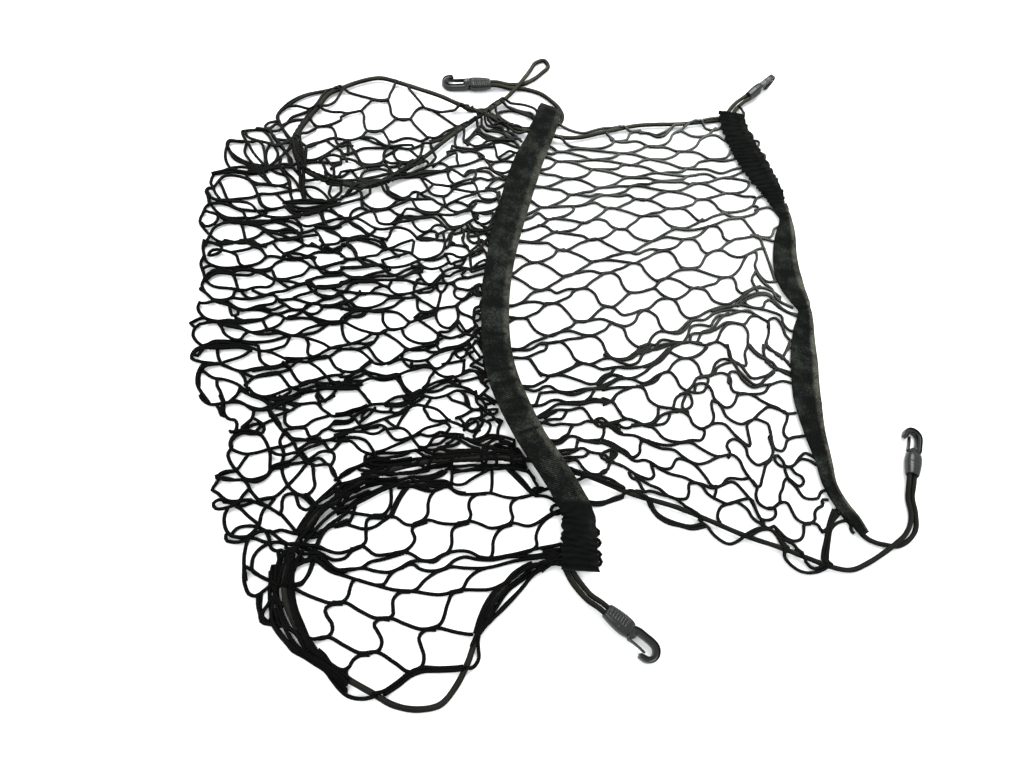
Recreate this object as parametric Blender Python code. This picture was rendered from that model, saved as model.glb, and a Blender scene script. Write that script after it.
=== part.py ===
"""Boot cargo net: one knitted net folded over on itself, two binding bands,
an elastic edge cord and four snap hooks, lying loose on a flat surface.

All tables are in millimetres on the surface, X along the net's rows and Y along
its bands, measured from a datum near the middle; CENTRE moves the datum to the
middle of the part's own box.  Heights are in millimetres above the surface.
"""
import math
from collections import namedtuple

import bpy
import numpy as np
from mathutils import Matrix, Vector

MM = 0.001
GAP = 0.3
CLEAR = 0.45
CENTRE = np.array([-2.9, 3.6])

# ---------------------------------------------------------------- the net's cloth
STRAND_THICK = 2.0
STRAND_WIDE = 2.4
LAYER_GAP = 0.6
LOW_LAYER = STRAND_THICK / 2
HIGH_LAYER = STRAND_THICK * 1.5 + LAYER_GAP
HALF_COLUMNS_LOW = 12
HALF_COLUMNS_HIGH = 6
ROWS = 12
LINK_SHARE = 0.34
BOW = 2.6
BUNCHED_ROW = 15.0
SHARPEST = 0.17
DROP_ROWS = 1.5
ROW_LINES = (0, 4, 8, 12, 16, 18, 20)
KNIT_ROWS = 20.0

# A section is one line of the net from its top edge to its bottom edge: its station
# along the cloth, the row where an upper layer comes down to the surface, and the
# places of the seven row lines.
Section = namedtuple("Section", "station drop_row top r4 r8 r12 r16 r18 bottom")
LOW_SHEET = (
    Section(0.0, 99, (256, 292), (266, 199), (270, 112), (260, 2),
            (234, -133), (233, -204), (208, -271)),
    Section(2.5, 99, (159, 264), (166, 183), (164, 92), (158, -10),
            (135, -91), (140, -148), (148, -249)),
    Section(5.0, 99, (58, 250), (65, 169), (76, 79), (76, -33), (84, -125), (91, -170), (101, -228)),
    Section(7.5, 99, (-37, 252), (-23, 157), (-12, 72), (0, -34), (-6, -115), (5, -154), (36, -201)),
    Section(10.0, 99, (-117, 290), (-103, 184), (-89, 77), (-76, -20),
            (-64, -97), (-50, -138), (-35, -175)),
    Section(15.0, 99, (-226, 284), (-232, 181), (-242, 76), (-242, -22),
            (-225, -100), (-200, -137), (-167, -166)),
    Section(17.5, 99, (-268, 246), (-301, 149), (-307, 47), (-303, -49),
            (-282, -137), (-269, -180), (-243, -203)),
    Section(20.0, 99, (-300, 220), (-351, 139), (-357, 30), (-350, -75),
            (-329, -176), (-314, -223), (-293, -271)),
)
HIGH_SHEET = (
    Section(20.0, 21.0, (-300, 220), (-351, 139), (-357, 30), (-350, -75),
            (-329, -176), (-314, -223), (-293, -271)),
    Section(22.0, 18.0, (-257, 160), (-268, 91), (-272, -8), (-272, -111),
            (-262, -218), (-260, -266), (-250, -316)),
    Section(25.0, 14.5, (-176, 153), (-186, 64), (-194, -34), (-198, -136),
            (-195, -244), (-195, -299), (-194, -350)),
    Section(27.0, 14.5, (-119, 208), (-137, 98), (-150, -11), (-149, -122),
            (-121, -238), (-127, -284), (-141, -338)),
    Section(28.5, 15.0, (-57, 269), (-94, 120), (-113, 7), (-117, -92),
            (-80, -208), (-87, -234), (-98, -291)),
    Section(30.0, 15.5, (2, 267), (-47, 130), (-74, 20), (-80, -71),
            (-42, -192), (-43, -214), (-51, -261)),
)
FOLD_STATION = 20.0
END_STATION = 30.0

# ---------------------------------------------------------------- the binding bands
BAND_THICK = 2.0
BAND_COLUMNS = 4
PLAIN_STEP = 12.0
GATHER_STEP = 4.0
GATHER_WAVE = 8.0
GATHER_HIGH = 1.4
ON_ONE = STRAND_THICK + CLEAR
ON_TWO = HIGH_LAYER + STRAND_THICK / 2 + CLEAR
ON_CORD = ON_TWO + 5.0 + CLEAR
# x, y: middle line; height: of its lower side; wide: its width; tilt: roll in
# degrees, left edge up; gather: 1 where it is drawn up into ribs.
Station = namedtuple("Station", "x y height wide tilt gather")
CENTRE_BAND = (
    Station(16, 277, ON_TWO, 27, 0, 0), Station(8, 261, ON_CORD, 28, 0, 0),
    Station(-7, 227, ON_CORD, 28, 0, 0),
    Station(-15, 205, 7.5, 28, 0, 0), Station(-22, 184, ON_TWO, 29, 0, 0),
    Station(-39, 135, ON_TWO, 29, 0, 0),
    Station(-57, 87, ON_TWO, 29, 0, 0), Station(-69, 55, ON_TWO, 29, 0, 0),
    Station(-76, 12, ON_TWO, 29, 0, 0),
    Station(-82, -29, ON_TWO, 29, 0, 0), Station(-82, -67, ON_TWO, 29, 0, 0),
    Station(-75, -99, ON_TWO, 29, 0, 0), Station(-69, -123, 6.6, 28, 0, 0),
    Station(-61, -146, ON_CORD, 27, 0, 0),
    Station(-42, -190, ON_CORD, 28, 0, 0), Station(-34, -201, 7.5, 29, 0, 0),
    Station(-29, -213, ON_TWO, 32, 0, 1),
    Station(-29, -231, ON_TWO, 34, 0, 1), Station(-31, -248, ON_TWO, 35, 0, 1),
    Station(-32, -266, ON_TWO, 35, 0, 1),
)
RIGHT_BAND = (
    Station(251, 292, ON_ONE, 27, 0, 1), Station(252, 256, ON_ONE, 30, 0, 1),
    Station(258, 227, ON_ONE, 31, 0, 1), Station(267, 191, ON_ONE, 29, 0, 1),
    Station(274, 161, ON_ONE, 20, 0, 1), Station(277, 131, ON_ONE, 11, 38, 0),
    Station(273, 99, ON_ONE, 22, 10, 0), Station(266, 63, ON_ONE, 29, 0, 0),
    Station(261, 36, ON_ONE, 29, 0, 0),
    Station(264, 0, ON_ONE, 14, 25, 0), Station(257, -29, ON_ONE, 20, 8, 0),
    Station(246, -61, ON_ONE, 28, 0, 0),
    Station(235, -109, ON_ONE, 27, 0, 0), Station(234, -141, ON_ONE, 22, 0, 0),
    Station(233, -174, ON_ONE, 17, 0, 0), Station(232, -199, ON_ONE, 13, 0, 0),
    Station(238, -223, ON_ONE, 11, 0, 0), Station(249, -246, ON_ONE, 9, 0, 0),
)

# ---------------------------------------------------------------- the elastic cord
CORD = 5.0
CORD_STEP = 15.0
CORD_POINTS = 80
ON_FLOOR = CORD / 2 + 0.1
OVER_ONE = ON_ONE + CORD / 2
OVER_TWO = ON_TWO + CORD / 2
OVER_CORD = ON_FLOOR + CORD + CLEAR
# Each route is a list of x, y and the height of the cord's middle.
Route = namedtuple("Route", "name points")

# ---------------------------------------------------------------- the snap hooks
SLEEVE_LONG = 24.5
# Share of the sleeve's length, width and thickness.
SLEEVE_SECTIONS = ((0.0, 12.6, 9.8), (0.3, 15.0, 11.4), (0.6, 16.4, 12.0), (0.85, 16.2, 12.0),
                   (0.97, 15.2, 11.2), (1.0, 14.6, 10.8))
SLEEVE_SIDES = 16
HOOK_THICK = 6.0
ARM_WIDE = 6.0
BAR_FLAT = 0.6
ARM_LINE = 4.2
BEND_CENTRE = 46.2
BEND_LINE = -3.2
FINGER_END = 42.0
FINGER_LINE = -11.4
BASE_LONG = 3.4
GATE_THICK = 1.5
GATE_DEEP = 4.6
GATE_LINE = -6.6
GATE_OPEN = 20
# x, y: middle of the sleeve's mouth; height: of the hook's axis there; heading and
# dive: degrees; roll: degrees about the hook's own axis.
Place = namedtuple("Place", "name x y height heading dive roll")
HOOKS = (
    Place("hook_1", -16, -300, 7.2, -43.7, 3.4, 0),
    Place("hook_2", 324, -193, 7.2, 62.0, 3.4, 180),
    Place("hook_3", -54, 307.5, 7.2, -175.0, 3.4, 0),
    Place("hook_4", 283, 322, 8.4, 38.0, -6.6, 90),
)


def clear_scene():
    """Remove every object that the file opened with."""
    for thing in list(bpy.data.objects):
        bpy.data.objects.remove(thing, do_unlink=True)


def finish_material(name, colour, roughness, metallic=0.0):
    """A plain Principled material."""
    material = bpy.data.materials.new(name)
    material.use_nodes = True
    shader = material.node_tree.nodes["Principled BSDF"]
    shader.inputs["Base Color"].default_value = (*colour, 1.0)
    shader.inputs["Roughness"].default_value = roughness
    shader.inputs["Metallic"].default_value = metallic
    material.diffuse_color = (*colour, 1.0)
    return material


def add_mesh(name, points_mm, faces, material, smooth_angle=40.0):
    """Link a mesh object made from points in millimetres."""
    mesh = bpy.data.meshes.new(name)
    mesh.from_pydata([tuple(MM * c for c in p) for p in points_mm], [], faces)
    mesh.materials.append(material)
    mesh.shade_smooth()
    mesh.set_sharp_from_angle(angle=math.radians(smooth_angle))
    thing = bpy.data.objects.new(name, mesh)
    bpy.context.scene.collection.objects.link(thing)
    return thing


def through(knots, values, at):
    """Catmull-Rom curve through values at uneven knots, read at one place."""
    knots = np.asarray(knots, float)
    values = np.asarray(values, float)
    slopes = np.gradient(values, knots, axis=0)
    i = int(np.clip(np.searchsorted(knots, at) - 1, 0, len(knots) - 2))
    span = knots[i + 1] - knots[i]
    t = (at - knots[i]) / span
    rise = t * t * (3 - 2 * t)
    first = t * (1 - t) ** 2 * span
    last = t * t * (t - 1) * span
    return values[i] * (1 - rise) + values[i + 1] * rise + slopes[i] * first + slopes[i + 1] * last


def smooth_step(x):
    """0 below 0, 1 above 1 and an even S between."""
    x = min(max(x, 0.0), 1.0)
    return x * x * (3 - 2 * x)


# ---------------------------------------------------------------- net
def sheet_place(sheet, station, row):
    """Point of the cloth's middle, in millimetres, and its normal."""
    across = [through(ROW_LINES, section[2:], row) for section in sheet]
    stations = [section.station for section in sheet]
    x, y = through(stations, across, station)
    if sheet is LOW_SHEET:
        return np.array([x, y, LOW_LAYER]), np.array([0.0, 0.0, 1.0])
    drop_row = np.interp(station, stations, [section.drop_row for section in sheet])
    share = smooth_step((row - drop_row) / DROP_ROWS)
    height = HIGH_LAYER + (LOW_LAYER - HIGH_LAYER) * share
    return np.array([x, y, height]), np.array([0.0, 0.0, -1.0])


def cloth_place(station, row):
    """Point and normal anywhere on the folded cloth, the fold line included."""
    if station < FOLD_STATION:
        return sheet_place(LOW_SHEET, station, row)
    if station > FOLD_STATION:
        return sheet_place(HIGH_SHEET, station, row)
    point, _ = sheet_place(LOW_SHEET, station, row)
    below, _ = sheet_place(LOW_SHEET, station - 0.5, row)
    above, _ = sheet_place(HIGH_SHEET, station + 0.5, row)
    inward = np.zeros(3)
    for layer in (below, above):
        flat = (layer - point)[:2]
        inward[:2] += flat / np.linalg.norm(flat)
    point[2] = (LOW_LAYER + HIGH_LAYER) / 2
    return point, inward / np.linalg.norm(inward)


def wobble(i, j, seed):
    """A fixed number from -1 to 1 for a place in the lattice."""
    value = math.sin(i * 12.9898 + j * 78.233 + seed * 37.719) * 43758.5453
    return 2 * (value - math.floor(value)) - 1


class Lattice:
    """The net's strands as a graph of points on the cloth."""

    def __init__(self):
        self.flat = []
        self.places = []
        self.normals = []
        self.joined = []

    def node(self, station, row, shift=(0.0, 0.0)):
        """Add a point of the graph and return its number."""
        place, normal = cloth_place(station, row)
        place[:2] += shift
        self.flat.append((station, row))
        self.places.append(place)
        self.normals.append(normal)
        self.joined.append([])
        return len(self.flat) - 1

    def join(self, a, b):
        """One straight strand."""
        self.joined[a].append(b)
        self.joined[b].append(a)

    def strand(self, a, b, seed, bow=BOW):
        """A strand of two pieces, bowed sideways at its middle."""
        (s0, r0), (s1, r1) = self.flat[a], self.flat[b]
        along = self.places[b] - self.places[a]
        side = np.array([-along[1], along[0]]) / max(np.linalg.norm(along[:2]), 1e-6)
        if (r0 + r1) / 2 > BUNCHED_ROW and s0 > FOLD_STATION:
            bow = 0.0
        middle = self.node((s0 + s1) / 2, (r0 + r1) / 2, side * bow * wobble(a, b, seed))
        self.join(a, middle)
        self.join(middle, b)


def column_station(column):
    """Station of a half column, counted from the right band."""
    if column <= HALF_COLUMNS_LOW:
        return FOLD_STATION * column / HALF_COLUMNS_LOW
    beyond = (column - HALF_COLUMNS_LOW) / HALF_COLUMNS_HIGH
    return FOLD_STATION + (END_STATION - FOLD_STATION) * beyond


def net_lattice():
    """Links in staggered half columns, slanted strands between and a strand all round."""
    net = Lattice()
    last = HALF_COLUMNS_LOW + HALF_COLUMNS_HIGH
    row_high = KNIT_ROWS / ROWS
    starts, ends = {}, {}
    for column in range(last + 1):
        odd = column % 2
        for j in range(ROWS + 1 - odd):
            row = (j + 0.5 * odd) * row_high
            station = column_station(column)
            half = LINK_SHARE / 2 * FOLD_STATION / HALF_COLUMNS_LOW
            inner = 0 < j + odd and j < ROWS
            lean = 0.16 * row_high * wobble(column, j, 1) if inner else 0.0
            first = 0.0 if column == 0 else half
            second = 0.0 if column == last else half
            starts[column, j] = net.node(station - first, row - lean)
            ends[column, j] = net.node(station + second, row + lean) if first and second else starts[column, j]
            if column == HALF_COLUMNS_LOW:
                fold = net.node(FOLD_STATION, row)
                net.join(starts[column, j], fold)
                net.join(fold, ends[column, j])
            elif first and second:
                net.join(starts[column, j], ends[column, j])
    for column in range(last):
        odd = column % 2
        for j in range(ROWS + 1 - odd):
            for other in ((j, j + 1) if odd else (j - 1, j)):
                if (column + 1, other) in starts:
                    net.strand(ends[column, j], starts[column + 1, other], 2)
    for column in range(0, last, 2):
        for j in (0, ROWS):
            net.strand(ends[column, j], starts[column + 2, j], 3, bow=1.0)
    for column in (0, last):
        for j in range(ROWS):
            net.strand(starts[column, j], starts[column, j + 1], 4, bow=0.6)
    return net


def corner_offsets(net, a):
    """Neighbours of a point in order round it, and the corner after each of them."""
    normal = net.normals[a]
    helper = np.array([0.0, 1.0, 0.0])
    first = np.cross(helper, normal)
    first /= np.linalg.norm(first)
    second = np.cross(normal, first)
    rays = []
    for b in net.joined[a]:
        d = net.places[b] - net.places[a]
        rays.append((math.atan2(d @ second, d @ first), b))
    rays.sort()
    corners = []
    for k, (angle, _) in enumerate(rays):
        following = rays[(k + 1) % len(rays)][0]
        opening = (following - angle) % (2 * math.pi) or 2 * math.pi
        reach = STRAND_WIDE / 2 / max(math.sin(opening / 2), SHARPEST)
        middle = angle + opening / 2
        corners.append(reach * (math.cos(middle) * first + math.sin(middle) * second))
    return [b for _, b in rays], corners


def make_net(material):
    """Turn the graph into one closed solid of flat strands with open cells."""
    net = net_lattice()
    points, faces, upper, lower, order = [], [], {}, {}, {}
    for a in range(len(net.flat)):
        around, corners = corner_offsets(net, a)
        order[a] = around
        for b, corner in zip(around, corners):
            rise = net.normals[a] * STRAND_THICK / 2
            upper[a, b] = len(points)
            points.append(net.places[a] + corner + rise)
            lower[a, b] = len(points)
            points.append(net.places[a] + corner - rise)
    for a, around in order.items():
        if len(around) > 2:
            faces.append([upper[a, b] for b in around])
            faces.append([lower[a, b] for b in reversed(around)])
        for k, b in enumerate(around):
            before = around[k - 1]
            if a < b:
                back = order[b][order[b].index(a) - 1]
                ring = (upper[a, before], upper[b, a], upper[b, back], upper[a, b])
                faces.append(list(ring))
                base = (lower[a, before], lower[a, b], lower[b, back], lower[b, a])
                faces.append(list(base))
            back = order[b][order[b].index(a) - 1]
            faces.append([upper[a, b], upper[b, back], lower[b, back], lower[a, b]])
    points = [p - np.array([*CENTRE, 0.0]) for p in points]
    return add_mesh("net", points, faces, material)


# ---------------------------------------------------------------- bands
def band_rows(stations):
    """Stations read along the band: close together where it is gathered."""
    places = np.array([s[:2] for s in stations], float)
    run = np.concatenate([[0.0], np.cumsum(np.linalg.norm(np.diff(places, axis=0), axis=1))])
    rows, at = [], 0.0
    while at < run[-1] - 1.0:
        rows.append(at)
        gathered = np.interp(at, run, [s.gather for s in stations]) > 0.5
        at += GATHER_STEP if gathered else PLAIN_STEP
    rows.append(run[-1])
    return run, rows


def make_band(name, stations, material):
    """A strip of cloth carried along its stations, ribbed where it is gathered."""
    run, rows = band_rows(stations)
    table = np.array(stations, float)
    points, faces = [], []
    ring_size = 2 * (BAND_COLUMNS + 1)
    for at in rows:
        x, y = through(run, table[:, :2], at)
        height, wide, tilt, gather = (np.interp(at, run, table[:, k]) for k in range(2, 6))
        ahead = through(run, table[:, :2], min(at + 1, run[-1])) - through(run, table[:, :2], max(at - 1, 0.0))
        ahead /= np.linalg.norm(ahead)
        slope = math.radians(tilt)
        left = np.array([-ahead[1] * math.cos(slope), ahead[0] * math.cos(slope), math.sin(slope)])
        up = np.cross(np.array([*ahead, 0.0]), left)
        ribs = GATHER_HIGH * smooth_step(gather) * (0.5 - 0.5 * math.cos(2 * math.pi * at / GATHER_WAVE))
        middle = np.array([x, y, height + BAND_THICK / 2 + wide / 2 * abs(math.sin(slope))])
        rim = []
        for k in range(BAND_COLUMNS + 1):
            share = k / BAND_COLUMNS - 0.5
            crown = 1 - (2 * share) ** 4
            edge = middle - left * wide * share
            rim.append((edge + up * (BAND_THICK / 2 * (0.5 + 0.5 * crown) + ribs * crown), edge))
        points += [top for top, _ in rim]
        points += [edge - up * BAND_THICK / 2 for _, edge in reversed(rim)]
    for i in range(len(rows) - 1):
        for k in range(ring_size):
            n = (k + 1) % ring_size
            a, b = i * ring_size, (i + 1) * ring_size
            faces.append([a + k, a + n, b + n, b + k])
    faces.append(list(reversed(range(ring_size))))
    faces.append([(len(rows) - 1) * ring_size + k for k in range(ring_size)])
    points = [p - np.array([*CENTRE, 0.0]) for p in points]
    return add_mesh(name, points, faces, material)


# ---------------------------------------------------------------- hooks
def hook_frame(place):
    """Matrix of a hook: X along its axis, Y across its plane of bending."""
    turn = Matrix.Rotation(math.radians(place.heading), 4, "Z")
    turn = turn @ Matrix.Rotation(math.radians(place.dive), 4, "Y")
    turn = turn @ Matrix.Rotation(math.radians(place.roll), 4, "X")
    spot = Vector(((place.x - CENTRE[0]) * MM, (place.y - CENTRE[1]) * MM, place.height * MM))
    return Matrix.Translation(spot) @ turn


def loft(rings):
    """Faces between equal rings, with flat end caps."""
    size = len(rings[0])
    faces = []
    for i in range(len(rings) - 1):
        for k in range(size):
            n = (k + 1) % size
            faces.append([i * size + k, i * size + n, (i + 1) * size + n, (i + 1) * size + k])
    faces.append(list(reversed(range(size))))
    faces.append([(len(rings) - 1) * size + k for k in range(size)])
    return [p for ring in rings for p in ring], faces


def sleeve_rings():
    """Rounded rectangles that swell towards the hook."""
    rings = []
    for share, wide, thick in SLEEVE_SECTIONS:
        ring = []
        for k in range(SLEEVE_SIDES):
            turn = 2 * math.pi * (k + 0.5) / SLEEVE_SIDES
            c, s = math.cos(turn), math.sin(turn)
            y = math.copysign(abs(c) ** 0.75, c) * wide / 2
            z = math.copysign(abs(s) ** 0.75, s) * thick / 2
            ring.append((share * SLEEVE_LONG, y, z))
        rings.append(ring)
    return rings


def bar_ring(x, y, along, wide, thick):
    """Eight corners of a bevelled bar section square to the direction along."""
    side = (-along[1], along[0])
    bevel = BAR_FLAT
    ring = []
    for across, up in ((1, bevel), (bevel, 1), (-bevel, 1), (-1, bevel),
                       (-1, -bevel), (-bevel, -1), (bevel, -1), (1, -bevel)):
        step = across * wide / 2
        ring.append((x + side[0] * step, y + side[1] * step, up * thick / 2))
    return ring


def hook_rings():
    """Base block, straight arm, round bend and short returning finger."""
    start = SLEEVE_LONG + GAP
    bend_radius = ARM_LINE - BEND_LINE
    rings = [bar_ring(start, 0.0, (1, 0), 13.0, 8.0),
             bar_ring(start + BASE_LONG - 1.0, 0.4, (1, 0), 12.2, 7.6),
             bar_ring(start + BASE_LONG + 0.2, ARM_LINE - 0.4, (1, 0), ARM_WIDE + 0.8, HOOK_THICK + 0.6),
             bar_ring(start + BASE_LONG + 5.0, ARM_LINE, (1, 0), ARM_WIDE, HOOK_THICK)]
    for step in range(8):
        turn = math.pi / 2 - math.pi * step / 7
        x = BEND_CENTRE + bend_radius * math.cos(turn)
        y = BEND_LINE + bend_radius * math.sin(turn)
        wide = ARM_WIDE - 0.12 * step
        rings.append(bar_ring(x, y, (math.sin(turn), -math.cos(turn)), wide, HOOK_THICK))
    rings.append(bar_ring(FINGER_END + 1.4, FINGER_LINE + 0.4, (-1, -0.12), 4.6, HOOK_THICK - 0.4))
    rings.append(bar_ring(FINGER_END, FINGER_LINE - 0.2, (-1, -0.3), 3.2, HOOK_THICK - 1.6))
    return rings


def gate_rings():
    """A thin leaf from the hook's base to the inner side of the finger."""
    start = SLEEVE_LONG + GAP + BASE_LONG
    length = FINGER_END + 3.0 - start
    rings = []
    for share, thick in ((0.02, 2.2), (0.12, 2.2), (0.3, GATE_THICK), (0.7, GATE_THICK), (1.0, 1.2)):
        rings.append(bar_ring(share * length, 0.25 * math.sin(math.pi * share), (1, 0), thick, GATE_DEEP))
    return rings, start


def make_hook(place, plastic, dark_plastic):
    """Sleeve, hook and gate; the gate turns about its own origin."""
    frame = hook_frame(place)
    points, faces = loft(sleeve_rings())
    sleeve = add_mesh(place.name + "_sleeve", points, faces, plastic)
    sleeve.matrix_world = frame
    points, faces = loft(hook_rings())
    hook = add_mesh(place.name + "_claw", points, faces, plastic)
    hook.matrix_world = frame
    rings, start = gate_rings()
    points, faces = loft(rings)
    gate = add_mesh(place.name + "_gate", points, faces, dark_plastic)
    gate.matrix_world = frame @ Matrix.Translation(Vector((start * MM, GATE_LINE * MM, 0.0)))


def mouth(number, side, back=0.0, lift=0.0):
    """Place of a cord's middle at a hook's mouth: its index, left or right strand."""
    place = HOOKS[number]
    turn = math.radians(place.heading)
    across = side * (CORD + GAP) / 2
    back += 2.4 * CLEAR
    x = place.x - back * math.cos(turn) - across * math.sin(turn)
    y = place.y - back * math.sin(turn) + across * math.cos(turn)
    return (x, y, place.height + lift)


# ---------------------------------------------------------------- cords
def cord_routes():
    """Every stretch of the cord, as points chosen along it."""
    low, one, two, hump = ON_FLOOR, OVER_ONE, OVER_TWO, OVER_CORD
    return (
        Route("cord_corner", [
            (254, -252, low), (261, -256, low), (271, -259, low), (282, -261, low), (296, -257, low),
            (309, -246, low), (318, -231, low), (322, -214, 4.0), mouth(1, -1, 9), mouth(1, -1)]),
        Route("cord_bottom", [
            mouth(1, 1), mouth(1, 1, 9), (309, -217, 4.0), (304, -234, 4.0), (293, -249, 6.8),
            (278, -260, hump), (262, -268, 6.8), (246, -275, 3.6), (228, -280, low), (207, -277, one),
            (184, -267, one), (162, -257, one), (127, -243, one), (97, -228, one), (70, -215, one),
            (23, -198, one), (-2, -186, 5.8), (-32, -174, two), (-64, -165, two), (-100, -162, two),
            (-163, -165, two), (-206, -177, two), (-226, -190, two), (-247, -206, two), (-262, -226, two),
            (-271, -246, two), (-273, -270, two), (-266, -291, two), (-255, -309, 6.0), (-241, -325, one),
            (-222, -338, one), (-208, -347, one), (-194, -356, one), (-174, -361, 3.4), (-158, -359, 3.4),
            (-146, -348, one), (-136, -333, one), (-127, -314, one), (-115, -294, one), (-103, -278, one),
            (-86, -262, one), (-68, -258, one), (-53, -257, one)]),
        Route("cord_hook_1_left", [
            (-34, -270.5, low), (-31, -277, low), mouth(0, 1.1, 15, -2.5), mouth(0, 1.05, 6), mouth(0, 1)]),
        Route("cord_hook_1_right", [
            (-41, -270.5, low), (-38, -278, low), mouth(0, -1.1, 15, -2.5), mouth(0, -1.05, 6), mouth(0, -1)]),
        Route("cord_loop", [
            mouth(2, 1), mouth(2, 1, 8), (-29, 308, low), (-7, 308, low), (8, 303, low), (20, 292, low),
            (29, 281, low), (33, 270, low), (31.5, 260, low)]),
        Route("cord_top", [
            mouth(2, -1), mouth(2, -1, 8), (-29, 314, low), (-13, 317, low), (1, 326, low), (14, 339, low),
            (24, 353, low), (20, 361, low), (9, 356, low), (0, 341, 4.4), (-10, 323, hump), (-22, 305, hump),
            (-38, 285, two), (-54, 270, two), (-82, 244, two), (-110, 217, two), (-140, 185, two),
            (-165, 162, two), (-180, 150, two), (-198, 142, two), (-231, 145, two), (-248, 150, two),
            (-261, 158, two), (-270, 173, two), (-273, 192, two), (-269, 210, two), (-259, 232, 6.6),
            (-248, 254, one), (-238, 272, one), (-221, 285, one), (-203, 296, one), (-180, 304, one),
            (-159, 299, one), (-141, 293, one), (-111, 280, 6.6), (-98, 270, 9.0), (-84, 259, 12.8),
            (-66, 252, 12.8), (-47, 244, 8.8), (-26, 238, two), (0, 234, two), (28, 231, 6.2), (47, 235, one),
            (70, 243, one), (92, 251, one), (124, 261, one), (149, 265, one), (175, 268, one),
            (206, 274, one), (231.5, 282, one)]),
        Route("cord_hook_4_left", [
            (247, 296.5, low), (255, 305, 3.2), (264, 313, 5.0), mouth(3, 1, 8), mouth(3, 1)]),
        Route("cord_hook_4_right", [
            (257, 296.5, low), (263, 302, 3.2), (270, 307, 5.0), mouth(3, -1, 8), mouth(3, -1)]),
    )


def cord_line(points):
    """Points at even steps on a smooth curve through a route."""
    places = np.array(points, float)
    run = np.concatenate([[0.0], np.cumsum(np.linalg.norm(np.diff(places, axis=0), axis=1))])
    fine = np.array([through(run, places, at) for at in np.linspace(0, run[-1], 900)])
    fine[:, 2] = np.maximum(fine[:, 2], ON_FLOOR)
    length = np.concatenate([[0.0], np.cumsum(np.linalg.norm(np.diff(fine, axis=0), axis=1))])
    count = min(max(int(length[-1] / CORD_STEP) + 1, 6), CORD_POINTS)
    even = np.linspace(0, length[-1], count)
    return np.column_stack([np.interp(even, length, fine[:, k]) for k in range(3)])


def make_cord(route, material):
    """A round tube on one polyline."""
    line = cord_line(route.points)
    curve = bpy.data.curves.new(route.name, "CURVE")
    curve.dimensions = "3D"
    curve.bevel_depth = CORD / 2 * MM
    curve.bevel_resolution = 2
    curve.use_fill_caps = True
    curve.materials.append(material)
    spline = curve.splines.new("POLY")
    spline.points.add(len(line) - 1)
    for point, place in zip(spline.points, line):
        x, y = (place[:2] - CENTRE) * MM
        point.co = (x, y, place[2] * MM, 1.0)
    thing = bpy.data.objects.new(route.name, curve)
    bpy.context.scene.collection.objects.link(thing)


def main():
    """Build every piece."""
    clear_scene()
    yarn = finish_material("knitted_yarn", (0.03, 0.032, 0.03), 0.85)
    webbing = finish_material("band_cloth", (0.035, 0.04, 0.037), 0.8)
    elastic = finish_material("elastic_cord", (0.03, 0.03, 0.026), 0.75)
    plastic = finish_material("black_plastic", (0.035, 0.037, 0.037), 0.35)
    dark_plastic = finish_material("gate_plastic", (0.02, 0.02, 0.02), 0.4)
    make_net(yarn)
    make_band("centre_band", CENTRE_BAND, webbing)
    make_band("right_band", RIGHT_BAND, webbing)
    for place in HOOKS:
        make_hook(place, plastic, dark_plastic)
    for route in cord_routes():
        make_cord(route, elastic)


main()
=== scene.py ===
"""Boot cargo net lying folded on a table: yarn, binding bands, shock cord, hooks.

Tables are in millimetres on the table top, X across the bands and Y along them,
from a datum near the middle of the net.  CENTRE moves the datum to the part's
own origin.  Meshes are worked out in millimetres and scaled once, in link_piece.
"""
import logging
import math
from dataclasses import dataclass, field
from enum import Enum
from typing import Any, NamedTuple, Sequence

import bpy
import numpy as np
from mathutils import Euler, Matrix, Vector


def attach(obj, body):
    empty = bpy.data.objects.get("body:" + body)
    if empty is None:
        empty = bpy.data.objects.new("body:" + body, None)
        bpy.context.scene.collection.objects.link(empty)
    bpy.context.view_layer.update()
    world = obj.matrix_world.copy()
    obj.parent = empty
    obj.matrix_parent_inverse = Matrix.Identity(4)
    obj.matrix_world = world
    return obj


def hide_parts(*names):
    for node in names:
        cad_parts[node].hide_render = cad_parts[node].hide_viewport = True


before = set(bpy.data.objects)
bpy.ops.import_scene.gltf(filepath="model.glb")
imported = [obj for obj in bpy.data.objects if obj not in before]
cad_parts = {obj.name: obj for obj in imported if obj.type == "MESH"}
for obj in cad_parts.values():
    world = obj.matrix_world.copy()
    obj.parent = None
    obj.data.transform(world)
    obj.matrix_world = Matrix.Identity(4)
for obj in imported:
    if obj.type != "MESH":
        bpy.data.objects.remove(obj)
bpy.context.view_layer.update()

LOG = logging.getLogger("cargo_net")
MM = 0.001
TURN = 2 * math.pi
CENTRE = np.array([-2.9, 3.6, 0.0])
ROOT = "net_and_hooks"
UP = np.array([0.0, 0.0, 1.0])
Array = np.ndarray


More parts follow.
